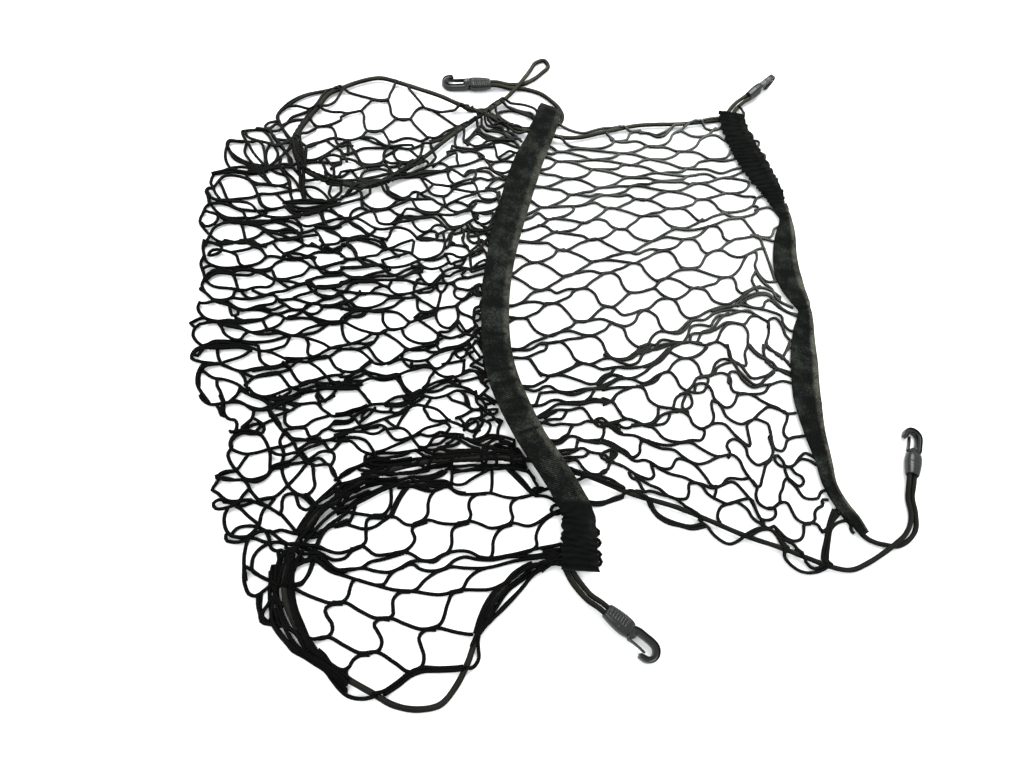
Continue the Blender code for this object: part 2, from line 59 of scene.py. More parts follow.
# ---------------------------------------------------------------- numbers
def through(knots: Sequence[float], values: Any, at: Any) -> Array:
    """Smooth curve through values at uneven knots.

    A cubic Hermite piece runs between each pair of knots, and its end slopes are
    the central differences of the values there.

    Args:
        knots: rising places of the values.
        values: one row for each knot.
        at: places to read.

    Returns:
        One row of values for each place.
    """
    knots = np.asarray(knots, float)
    values = np.asarray(values, float)
    at = np.atleast_1d(np.asarray(at, float))
    slopes = np.gradient(values, knots, axis=0)
    i = np.clip(np.searchsorted(knots, at) - 1, 0, len(knots) - 2)
    span = knots[i + 1] - knots[i]
    t = (at - knots[i]) / span
    shape = (-1,) + (1,) * (values.ndim - 1)
    t, span = t.reshape(shape), span.reshape(shape)
    rise = t * t * (3 - 2 * t)
    return (values[i] * (1 - rise) + values[i + 1] * rise + slopes[i] * t * (1 - t) ** 2 * span
            + slopes[i + 1] * t * t * (t - 1) * span)


def smooth_step(x: Any) -> Array:
    """0 below 0, 1 above 1 and an even S between."""
    x = np.clip(x, 0.0, 1.0)
    return x * x * (3 - 2 * x)


def run_along(points: Array) -> Array:
    """Distance along a polyline at each of its points; the last two axes are point and x, y, z."""
    steps = np.linalg.norm(np.diff(points, axis=-2), axis=-1)
    return np.concatenate([np.zeros_like(steps[..., :1]), np.cumsum(steps, axis=-1)], axis=-1)


def even_line(points: Sequence[Sequence[float]], step: float) -> Array:
    """Points at even steps on the smooth curve through a few points.

    Args:
        points: the points that the curve passes.
        step: distance between the points returned.

    Returns:
        The points, one row each.
    """
    places = np.array(points, float)
    run = run_along(places)
    fine = through(run, places, np.linspace(0, run[-1], 60 * len(places)))
    length = run_along(fine)
    even = np.linspace(0, length[-1], max(int(length[-1] / step) + 1, 6))
    return np.column_stack([np.interp(even, length, fine[:, k]) for k in range(places.shape[1])])


def nearest_on(line: Array, points: Array) -> tuple[Array, Array]:
    """Nearest point of a line to each point, seen from above.

    Args:
        line: close-set points of the line.
        points: points to test, any leading shape.

    Returns:
        The nearest points and their distances.
    """
    flat = points.reshape(-1, points.shape[-1])
    gaps = np.linalg.norm(flat[:, None, :2] - line[None, :, :2], axis=2)
    best = gaps.argmin(axis=1)
    shape = points.shape[:-1]
    return line[best].reshape(shape + (line.shape[1],)), gaps.min(axis=1).reshape(shape)


@dataclass(frozen=True)
class Sight:
    """Where the camera stands and which way it looks."""

    wide_px: int = 1024
    high_px: int = 768
    focal_px: float = 770.0
    spot: tuple = (-238.0, -410.0, 630.0)
    turn: tuple = (28.02, -11.63, -6.47)

    def matrix(self) -> Matrix:
        """The camera's turn, from its three angles."""
        return Euler([math.radians(a) for a in self.turn], "XYZ").to_matrix()


def seen_at(points: Sequence[tuple], height: float) -> Array:
    """Places at one height that stand at given points of the camera's view.

    A ray leaves the camera along ((u - width / 2) / f, (height / 2 - v) / f, -1), turned
    as the camera is, and is cut where it meets the height.

    Args:
        points: view points u, v in pixels from the upper left corner.
        height: the height above the table.

    Returns:
        x, y and height, one row each.
    """
    sight = Sight()
    u, v = np.array(points, float).T
    across = (u - sight.wide_px / 2) / sight.focal_px
    down = (sight.high_px / 2 - v) / sight.focal_px
    rays = np.stack([across, down, -np.ones_like(u)], axis=1)
    rays = rays @ np.array(sight.matrix()).T
    spot = np.array(sight.spot)
    return spot + rays * ((height - spot[2]) / rays[:, 2])[:, None]


# ---------------------------------------------------------------- meshes
class Surface(NamedTuple):
    """A mesh in millimetres: points, four-sided faces with their UV places, and end caps."""

    points: Array
    quads: Array
    uv: Array
    caps: Array

    @staticmethod
    def joined(parts: Sequence["Surface"]) -> "Surface":
        """All the parts as one surface; every cap has as many corners as the others."""
        first = np.cumsum([0] + [len(p.points) for p in parts[:-1]])
        return Surface(
            np.concatenate([p.points for p in parts]),
            np.concatenate([p.quads + n for p, n in zip(parts, first)]),
            np.concatenate([p.uv for p in parts]),
            np.concatenate([p.caps + n for p, n in zip(parts, first)]))


def skin(rings: Array, along: Array, around: Array | None = None) -> Surface:
    """Closed tubes from their rings.

    Face (i, k) joins corners k and k + 1 of rings i and i + 1, and a cap of all the
    corners closes each end.  Corners run clockwise, seen along the tube.  U is the
    distance along and V goes from 0 to 1 around.

    Args:
        rings: tubes, rings, corners, x y z.
        along: tubes, rings: distance along each tube.
        around: corners + 1 places around; even steps if left out.

    Returns:
        The surface of all the tubes.
    """
    tubes, count, sides = rings.shape[:3]
    number = np.arange(tubes * count * sides).reshape(tubes, count, sides)
    ahead = np.roll(number, -1, axis=2)
    quads = np.stack([number[:, :-1], number[:, 1:], ahead[:, 1:], ahead[:, :-1]], axis=-1)
    if around is None:
        around = np.linspace(0, 1, sides + 1)
    u0 = np.broadcast_to(along[:, :-1, None], quads.shape[:3])
    u1 = np.broadcast_to(along[:, 1:, None], quads.shape[:3])
    v0 = np.broadcast_to(around[None, None, :-1], quads.shape[:3])
    v1 = np.broadcast_to(around[None, None, 1:], quads.shape[:3])
    uv = np.stack([np.stack([u0, v0], -1), np.stack([u1, v0], -1),
                   np.stack([u1, v1], -1), np.stack([u0, v1], -1)], axis=3)
    caps = np.concatenate([number[:, 0], number[:, -1, ::-1]])
    return Surface(rings.reshape(-1, 3), quads.reshape(-1, 4), uv.reshape(-1, 4, 2), caps)


def sweep(paths: Array, radius: Any, sides: int) -> Surface:
    """Round tubes carried along paths.

    Each ring stands square to its path: corner = path + radius (cos a side + sin a up),
    with side level and up square to side and to the path.

    Args:
        paths: tubes, points, x y z.
        radius: one number, or an array that broadcasts to tubes, points, corners.
        sides: corners of a ring.

    Returns:
        The surface of all the tubes.
    """
    ahead = np.gradient(paths, axis=1)
    ahead /= np.linalg.norm(ahead, axis=2, keepdims=True)
    side = np.cross(ahead, UP)
    side /= np.maximum(np.linalg.norm(side, axis=2, keepdims=True), 1e-6)
    up = np.cross(side, ahead)
    turn = np.linspace(0, 2 * math.pi, sides, endpoint=False)
    reach = np.broadcast_to(np.asarray(radius, float), paths.shape[:2] + (sides,))[..., None]
    rings = (paths[:, :, None] + reach * (np.cos(turn)[:, None] * side[:, :, None]
                                          + np.sin(turn)[:, None] * up[:, :, None]))
    return skin(rings, run_along(paths))


def link_piece(name: str, surface: Surface, material: bpy.types.Material,
               body: str = ROOT, smooth: float = 60.0) -> bpy.types.Object:
    """Put a surface into the scene as a piece that rides on a body.

    Args:
        name: the piece's name.
        surface: the mesh, in millimetres from the datum.
        material: its finish.
        body: the body that it rides on.
        smooth: faces that meet at less than this angle, in degrees, shade as one.

    Returns:
        The new object.
    """
    mesh = bpy.data.meshes.new(name)
    points = ((surface.points - CENTRE) * MM).astype(np.float32)
    corners = np.concatenate([surface.quads.ravel(), surface.caps.ravel()]).astype(np.int32)
    sizes = np.concatenate([np.full(len(surface.quads), surface.quads.shape[1]),
                            np.full(len(surface.caps), surface.caps.shape[1])])
    starts = np.concatenate([[0], np.cumsum(sizes)[:-1]])
    mesh.vertices.add(len(points))
    mesh.vertices.foreach_set("co", points.ravel())
    mesh.loops.add(len(corners))
    mesh.loops.foreach_set("vertex_index", corners)
    mesh.polygons.add(len(sizes))
    mesh.polygons.foreach_set("loop_start", starts.astype(np.int32))
    layer = mesh.uv_layers.new(name="UVMap")
    uv = np.zeros((len(corners), 2), np.float32)
    uv[:surface.quads.size] = surface.uv.reshape(-1, 2)
    layer.data.foreach_set("uv", uv.ravel())
    mesh.update(calc_edges=True)
    mesh.validate()
    mesh.materials.append(material)
    mesh.shade_smooth()
    mesh.set_sharp_from_angle(angle=math.radians(smooth))
    piece = bpy.data.objects.new(name, mesh)
    bpy.context.scene.collection.objects.link(piece)
    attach(piece, body)
    LOG.info("%s: %d faces", name, len(mesh.polygons))
    return piece


# ---------------------------------------------------------------- shaders
class Value:
    """One output of a shader tree; Python's operators on it add Math nodes."""

    def __init__(self, board: "Board", socket: bpy.types.NodeSocket) -> None:
        """Keep the tree that the output belongs to."""
        self.board = board
        self.socket = socket

    def math(self, operation: str, *terms: Any) -> "Value":
        """A Math node of that operation on the terms, in order."""
        return self.board.node("ShaderNodeMath", {"operation": operation}, dict(enumerate(terms)))

    def __add__(self, other: Any) -> "Value":
        """Sum."""
        return self.math("ADD", self, other)

    def __radd__(self, other: Any) -> "Value":
        """Sum, with the number first."""
        return self.math("ADD", other, self)

    def __sub__(self, other: Any) -> "Value":
        """Difference."""
        return self.math("SUBTRACT", self, other)

    def __rsub__(self, other: Any) -> "Value":
        """Difference, with the number first."""
        return self.math("SUBTRACT", other, self)

    def __mul__(self, other: Any) -> "Value":
        """Product."""
        return self.math("MULTIPLY", self, other)

    def __rmul__(self, other: Any) -> "Value":
        """Product, with the number first."""
        return self.math("MULTIPLY", other, self)

    def sine(self) -> "Value":
        """Sine of the value."""
        return self.math("SINE", self)

    def size(self) -> "Value":
        """The value without its sign."""
        return self.math("ABSOLUTE", self)

    def within(self, low: float, high: float) -> "Value":
        """0 at low and below, 1 at high and above, an even S between."""
        return self.board.node("ShaderNodeMapRange", {"interpolation_type": "SMOOTHSTEP"},
                               {0: self, 1: low, 2: high, 3: 0.0, 4: 1.0})


class Board:
    """A new material and the nodes put on it."""

    def __init__(self, name: str, **constants: float) -> None:
        """Start a Principled material.

        Args:
            name: the material's name.
            **constants: shader sockets that are the same all over, spaces as underscores.
        """
        self.material = bpy.data.materials.new(name)
        self.material.use_nodes = True
        self.tree = self.material.node_tree
        self.shader = self.tree.nodes["Principled BSDF"]
        for key, number in constants.items():
            self.shader.inputs[key.replace("_", " ")].default_value = number

    def node(self, kind: str, settings: dict[str, Any] | None = None,
             sockets: dict[Any, Any] | None = None, output: Any = 0) -> Value:
        """Add one node.

        Args:
            kind: the node's type.
            settings: its settings, set first.
            sockets: a number, colour or Value for each input.
            output: the output that is wanted.

        Returns:
            That output.
        """
        made = self.tree.nodes.new(kind)
        for key, setting in (settings or {}).items():
            setattr(made, key, setting)
        for key, value in (sockets or {}).items():
            if isinstance(value, Value):
                self.tree.links.new(value.socket, made.inputs[key])
            else:
                made.inputs[key].default_value = value
        return Value(self, made.outputs[output])

    def uv(self) -> tuple[Value, Value]:
        """The piece's own U, in millimetres along it, and V."""
        place = self.node("ShaderNodeUVMap", {"uv_map": "UVMap"})
        parts = self.node("ShaderNodeSeparateXYZ", None, {0: place})
        return parts, Value(self, parts.socket.node.outputs[1])

    def place(self) -> tuple[Value, Value, Value]:
        """X, Y and Z on the piece, in metres."""
        spot = self.node("ShaderNodeTexCoord", output="Object")
        split = self.node("ShaderNodeSeparateXYZ", None, {0: spot}).socket.node
        return tuple(Value(self, socket) for socket in split.outputs)

    def far_right_ramp(self) -> Value:
        """A share at a place, from 0 at the piece's near left to 1 at its far right; colours blend
        lighter along it.
        """
        x, y, _ = self.place()
        share = (x * 0.8 + y * 1.6 + 0.45).within(0.0, 1.0)
        return share * share

    def noise(self, per_metre: float, detail: float = 2.0) -> Value:
        """Noise fixed to the piece, with so many features to a metre."""
        place = self.node("ShaderNodeTexCoord", output="Object")
        return self.node("ShaderNodeTexNoise", None,
                         {"Vector": place, "Scale": per_metre, "Detail": detail})

    def blend(self, share: Any, first: Any, second: Any) -> Value:
        """A colour between two, by share."""
        first = (*first, 1.0) if isinstance(first, tuple) else first
        second = (*second, 1.0) if isinstance(second, tuple) else second
        return self.node("ShaderNodeMix", {"data_type": "RGBA"}, {0: share, 6: first, 7: second}, 2)

    def finish(self, colour: Value, roughness: Value, height: Value, depth_mm: float,
               strength: float = 0.6) -> bpy.types.Material:
        """Feed the shader and return the material.

        Args:
            colour: base colour.
            roughness: roughness.
            height: relief, from 0 to 1.
            depth_mm: depth of the relief.
            strength: share of the relief that shows.

        Returns:
            The material.
        """
        bump = self.node("ShaderNodeBump", None,
                         {"Strength": strength, "Distance": depth_mm * MM, "Height": height})
        for name, value in (("Base Color", colour), ("Roughness", roughness), ("Normal", bump)):
            self.tree.links.new(value.socket, self.shader.inputs[name])
        return self.material


@dataclass(frozen=True)
class YarnFinish:
    """Knitted elastic yarn: a chain of small V stitches, faintly green black, with a painted
    highlight along its top and painted shade on its sides.
    """

    stitch: float = 2.3
    # Darkest colour: on dark patches, and as painted shade on the yarn's sides.
    deep: tuple = (0.0016, 0.0018, 0.0016)
    dark: tuple = (0.011, 0.012, 0.010)
    # Lighter colour: towards the far right, and as a painted highlight along the yarn's top.
    light_tone_and_highlight: tuple = (0.180, 0.188, 0.168)
    relief: float = 0.5

    def material(self, name: str, shade: float = 1.0) -> bpy.types.Material:
        """Build the finish.

        Args:
            name: the material's name.
            shade: 1 for the plain colour, less for a darker copy that is painted shade.

        Returns:
            The material.
        """
        board = Board(name, Specular_IOR_Level=0.03)
        along, around = board.uv()
        lean = (around * (2 * TURN)).sine()
        chain = ((along * (TURN / self.stitch) + lean * 1.3).sine() * 0.5 + 0.5)
        fuzz = board.noise(2600.0, 3.0)
        patch = board.noise(22.0, 1.0)
        # Painted highlight and shade: the yarn is lighter along its top and darker on its sides, as
        # light from above would make it.
        top_highlight = (around * TURN).sine()
        lift = chain * 0.7 + fuzz * 0.5
        share = (lift * 0.5 + patch * 0.6 + top_highlight * 0.55 - 0.72).within(0.0, 1.0)
        deep, dark, light_tone_and_highlight = (tuple(part * shade for part in colour)
                            for colour in (self.deep, self.dark, self.light_tone_and_highlight))
        colour = board.blend(share, deep, board.blend(board.far_right_ramp(), dark, light_tone_and_highlight))
        return board.finish(colour, 0.66 + fuzz * 0.2, lift, self.relief)


@dataclass(frozen=True)
class BandFinish:
    """Woven binding: fine ribs, dark blotches, painted shadows of creases across it, a dusty edge
    and a black gathered end.
    """

    rib: float = 2.6
    diagonals: int = 11
    relief: float = 0.35
    deep: tuple = (0.0014, 0.0017, 0.0015)
    plain: tuple = (0.039, 0.047, 0.038)
    dusty: tuple = (0.068, 0.068, 0.054)

    def material(self, name: str, dusty_edge: float, black: tuple, slant: float,
                 crease_shadows: Sequence[float]) -> bpy.types.Material:
        """Build the finish.

        Args:
            name: the material's name.
            dusty_edge: how dusty the right edge is, from 0 to 1.
            black: distance along the band where it is plain, and where it is gathered and black.
            slant: how much further along the gather starts at one edge than at the other.
            crease_shadows: distances along the band of the painted shadows of creases across it.

        Returns:
            The material.
        """
        board = Board(name, Specular_IOR_Level=0.04)
        along, around = board.uv()
        twill = (along * (TURN / self.rib) + around * (TURN * self.diagonals)).sine() * 0.5 + 0.5
        ribs = (along * (TURN / self.rib * 2)).sine() * 0.5 + 0.5
        weave = twill * 0.5 + ribs * 0.2 + board.noise(1100.0, 2.0) * 0.4
        blot = ((board.noise(60.0, 5.0) - 0.34) * 3.0).within(0.0, 1.0)
        grain = board.noise(520.0, 3.0)
        share = blot * 0.34 + weave * 0.6 + grain * 0.9 - 0.78
        colour = board.blend(share.within(0.03, 1.0), self.deep, self.plain)
        edge = ((0.34 - around) * 5.0).within(0.0, 1.0) * dusty_edge
        dust = (edge * (blot * 0.5 + grain * 1.1 - 0.15)).within(0.0, 1.0)
        colour = board.blend(dust, colour, self.dusty)
        middle = ((0.46 - (around - 0.5).size()) * 6.0).within(0.0, 1.0)
        # Painted shadows of creases: dark lines across the middle of the band.
        for bar in crease_shadows:
            near = (1.15 - ((along - bar + grain * 5.0 - 2.5) * 0.36).size()).within(0.0, 1.0)
            colour = board.blend(near * middle * (blot * 0.3 + 0.7), colour, self.deep)
        plain, gathered = black
        past = along + around * slant - (plain + slant / 2)
        fade = (past * (1.0 / (gathered - plain))).within(0.0, 1.0)
        colour = board.blend(fade * 0.88, colour, self.deep)
        return board.finish(colour, 0.7 + grain * 0.18, weave, self.relief)


@dataclass(frozen=True)
class CordFinish:
    """Braided shock cord: crossing bundles of brownish black threads, with a painted highlight
    along its top and painted shade on its sides.
    """

    lay: float = 7.0
    bundles: int = 4
    pick: float = 0.8
    relief: float = 0.45
    # Darkest colour: on grime patches, and as painted shade in the braid's hollows and on the
    # cord's sides.
    deep: tuple = (0.003, 0.003, 0.0026)
    dark: tuple = (0.018, 0.018, 0.014)
    # Lighter colour: towards the far right, and as a painted highlight along the cord's top.
    light_tone_and_highlight: tuple = (0.085, 0.084, 0.062)

    def material(self, name: str) -> bpy.types.Material:
        """Build the finish."""
        board = Board(name, Specular_IOR_Level=0.05)
        along, around = board.uv()
        left = (along * (TURN / self.lay * 2) + around * (TURN * self.bundles)).sine()
        right = (along * (TURN / self.lay * 2) - around * (TURN * self.bundles)).sine()
        braid = (left * right) * 0.5 + 0.5
        fine = (along * (TURN / self.pick)).sine() * 0.5 + 0.5
        grime = board.noise(30.0, 2.0)
        relief = braid * 0.7 + fine * 0.12 + board.noise(1800.0, 2.0) * 0.3
        # Painted highlight and shade: the cord is lighter along its top and darker on its sides.
        top_highlight = (around * TURN).sine()
        share = (relief * 0.6 + grime * 0.6 + top_highlight * 0.4 - 0.68).within(0.0, 0.9)
        colour = board.blend(share, self.deep, board.blend(board.far_right_ramp(), self.dark, self.light_tone_and_highlight))
        return board.finish(colour, 0.6 + grime * 0.2, relief, self.relief)


class Gloss(Enum):
    """Roughness of the moulded plastics."""

    SATIN = 0.2
    DULL = 0.32


@dataclass(frozen=True)
class PlasticFinish:
    """Moulded black plastic with a fine spark texture, faint scuffs and a painted light on its
    upper side.
    """

    base: tuple = (0.0025, 0.003, 0.0027)
    # Colour of the faint scuffs and of the painted light on the upper side.
    scuffed_and_lit: tuple = (0.044, 0.050, 0.043)
    lit_from: float = 0.0045
    lit_rise: float = 130.0

    def material(self, name: str, gloss: Gloss) -> bpy.types.Material:
        """Build the finish."""
        board = Board(name, Specular_IOR_Level=0.3)
        # Painted light: each moulding is lighter on its upper side and dark low down, as if lit
        # from above, mixed with real faint scuffs there.
        top = ((board.place()[2] - self.lit_from) * self.lit_rise).within(0.0, 1.0)
        dust = 0.8 if gloss is Gloss.DULL else 0.3
        scuff_and_light = top * ((board.noise(500.0, 3.0) - 0.5) * 0.9 + 0.5).within(0.0, 1.0) * dust
        spark = board.noise(2400.0, 2.0)
        colour = board.blend(scuff_and_light, self.base, self.scuffed_and_lit)
        return board.finish(colour, gloss.value + scuff_and_light * 0.1 + spark * 0.05, spark, 0.05, 0.4)


@dataclass(frozen=True)
class TableFinish:
    """Bare white table top."""

    grey: tuple = (0.86, 0.865, 0.86)
    white: tuple = (0.9, 0.9, 0.895)

    def material(self, name: str) -> bpy.types.Material:
        """Build the finish."""
        board = Board(name, Specular_IOR_Level=0.1)
        mottle = board.noise(3.0, 2.0)
        colour = board.blend(mottle, self.grey, self.white)
        return board.finish(colour, 0.7 + mottle * 0.1, board.noise(500.0), 0.02, 0.2)


# ---------------------------------------------------------------- shock cord
# Heights: CORD is the cord's thickness, ON_ what a thing on top of one or two layers of
# yarn or of a cord rests at, and OVER_ where the middle of a cord on them lies.
CORD = 5.0
CLEAR = 0.45
STRAND_THICK = 2.0
ON_ONE = STRAND_THICK + CLEAR
ON_TWO = STRAND_THICK * 2 + 0.6 + CLEAR
ON_CORD = ON_TWO + CORD + CLEAR
FLOOR_LINE = CORD / 2 + 0.1
OVER_ONE = ON_ONE + CORD / 2
OVER_TWO = ON_TWO + CORD / 2
OVER_CORD = FLOOR_LINE + CORD + CLEAR


class Place(NamedTuple):
    """A hook: middle of its sleeve's mouth, height of its axis there, and its turns in degrees."""

    x: float
    y: float
    height: float
    heading: float
    dive: float
    roll: float

    def frame(self) -> Matrix:
        """Millimetre matrix: X along the hook from its mouth, Y across its plane of bending."""
        turn = Matrix.Rotation(math.radians(self.heading), 4, "Z")
        turn = turn @ Matrix.Rotation(math.radians(self.dive), 4, "Y")
        turn = turn @ Matrix.Rotation(math.radians(self.roll), 4, "X")
        return Matrix.Translation(Vector((self.x, self.y, self.height))) @ turn


HOOKS = (
    Place(-16, -300, 7.2, -43.7, 3.4, 0),
    Place(324, -193, 7.2, 62.0, 3.4, 180),
    Place(-54, 307.5, 7.2, -175.0, 3.4, 0),
    Place(283, 322, 8.4, 38.0, -6.6, 90),
)


def mouth(number: int, side: float, back: float = 0.0, lift: float = 0.0) -> tuple:
    """Place of a cord's middle at a hook's mouth.

    Args:
        number: the hook's index.
        side: 1 for the left strand of the pair, -1 for the right.
        back: distance out from the mouth.
        lift: height above the hook's axis.

    Returns:
        x, y and height.
    """
    place = HOOKS[number]
    turn = math.radians(place.heading)
    across = side * (CORD + 0.3) / 2
    back += 2.4 * CLEAR
    x = place.x - back * math.cos(turn) - across * math.sin(turn)
    y = place.y - back * math.sin(turn) + across * math.cos(turn)
    return (x, y, place.height + lift)


@dataclass(frozen=True)
class Stretch:
    """One stretch of the edge cord: its node's name and the points that it passes."""

    name: str
    points: Sequence[tuple]


def stretches() -> tuple[Stretch, ...]:
    """Every stretch of the cord, from the points chosen along it."""
    low, one, two, hump = FLOOR_LINE, OVER_ONE, OVER_TWO, OVER_CORD
    return (
        Stretch("cord_corner", [
            (248, -244, low), (254, -252, low), (261, -256, low), (271, -259, low),
            (282, -261, low), (296, -257, low), (310, -246, low), (316, -231, low),
            (318.5, -213, 4.0), mouth(1, -1, 9), mouth(1, -1, -4)]),
        Stretch("cord_bottom", [
            mouth(1, 1, -4), mouth(1, 1, 9), (313, -214, 4.0), (309.5, -232, 4.0),
            (296, -249, 6.8), (278, -260, hump), (262, -268, 6.8), (246, -275, 3.6),
            (228, -280, low), (207, -277, one), (184, -267, one), (162, -257, one),
            (127, -243, one), (97, -228, one), (70, -215, one), (23, -198, one), (-2, -186, 5.8),
            (-32, -174, two), (-64, -165, two), (-100, -162, two), (-163, -165, two),
            (-206, -177, two), (-226, -190, two), (-247, -206, two), (-262, -226, two),
            (-271, -246, two), (-273, -270, two), (-266, -291, two), (-255, -309, 6.0),
            (-241, -325, one), (-222, -338, one), (-208, -347, one), (-194, -356, one),
            (-174, -361, 3.4), (-158, -359, 3.4), (-146, -348, one), (-136, -333, one),
            (-127, -314, one), (-115, -294, one), (-103, -278, one), (-86, -262, one),
            (-68, -258, one), (-53, -257, one), (-41, -256, low)]),
        Stretch("cord_hook_1_left", [
            (-40, -262, low), (-36.5, -270, low), (-31.5, -278, low), mouth(0, 1, 15, -2.5),
            mouth(0, 1, 6), mouth(0, 1, -4)]),
        Stretch("cord_hook_1_right", [
            (-45.3, -262, low), (-41.3, -272.5, low), (-36, -281.5, low), mouth(0, -1, 15, -2.5),
            mouth(0, -1, 6), mouth(0, -1, -4)]),
        Stretch("cord_loop", [
            mouth(2, 1, -4), mouth(2, 1, 8), (-29, 308, low), (-7, 308, low), (8, 303, low),
            (19, 293, low), (27, 282, low), (30, 270, low), (27, 260, low), (18, 252, low)]),
        Stretch("cord_top", [
            mouth(2, -1, -4), mouth(2, -1, 8), (-29, 314, low), (-13, 317, low), (1, 326, low),
            (14, 339, low), (24, 353, low), (20, 361, low), (9, 356, low), (0, 341, 4.4),
            (-10, 323, hump), (-22, 305, hump), (-38, 285, two), (-54, 270, two),
            (-82, 244, two), (-110, 217, two), (-140, 185, two), (-165, 162, two),
            (-180, 150, two), (-198, 142, two), (-231, 145, two), (-248, 150, two),
            (-261, 158, two), (-270, 173, two), (-273, 192, two), (-269, 210, two),
            (-259, 232, 6.6), (-248, 254, one), (-238, 272, one), (-221, 285, one),
            (-203, 296, one), (-180, 304, one), (-159, 299, one), (-141, 293, one),
            (-111, 280, 6.6), (-98, 270, 9.0), (-84, 259, 12.8), (-66, 252, 12.8),
            (-47, 244, 8.8), (-26, 238, two), (0, 234, two), (28, 231, 6.2), (47, 235, one),
            (70, 243, one), (92, 251, one), (124, 261, one), (149, 265, one), (175, 268, one),
            (206, 274, one), (231, 282, low), (243, 284, low)]),
        Stretch("cord_hook_4_left", [
            (249, 285, low), (252, 297, low), (257.5, 305, 3.2), (265.5, 313, 5.0),
            mouth(3, 1, 8), mouth(3, 1, -4)]),
        Stretch("cord_hook_4_right", [
            (255.5, 285, low), (257.5, 294, low), (262, 301, 3.2), (269.5, 308.7, 5.0),
            mouth(3, -1, 8), mouth(3, -1, -4)]),
    )


@dataclass
class EdgeCord:
    """The braided elastic cord, stretch by stretch."""

    finish: CordFinish = field(default_factory=CordFinish)
    relief: float = 0.1
    sides: int = 16
    step: float = 1.6
    lines: dict[str, Array] = field(default_factory=dict)

    def line(self, stretch: Stretch) -> Array:
        """Middle line of a stretch, kept above the table."""
        line = even_line(stretch.points, self.step)
        line[:, 2] = np.maximum(line[:, 2], FLOOR_LINE)
        return line

    def build(self) -> None:
        material = self.finish.material("braided_cord")
        for stretch in stretches():
            line = self.line(stretch)
            self.lines[stretch.name] = line
            run = run_along(line)
            turn = np.linspace(0, TURN, self.sides, endpoint=False)
            twist = TURN * run[:, None] / self.finish.lay * 2
            bundles = self.finish.bundles * turn
            braid = np.sin(twist + bundles) * np.sin(twist - bundles)
            radius = CORD / 2 - self.relief + self.relief * braid
            surface = sweep(line[None], radius[None], self.sides)
            piece = link_piece(stretch.name + "_braid", surface, material)
            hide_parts(stretch.name)
            path = (line - CENTRE) * MM
            [tuple(p) for p in path[::3]] + [tuple(path[-1])]


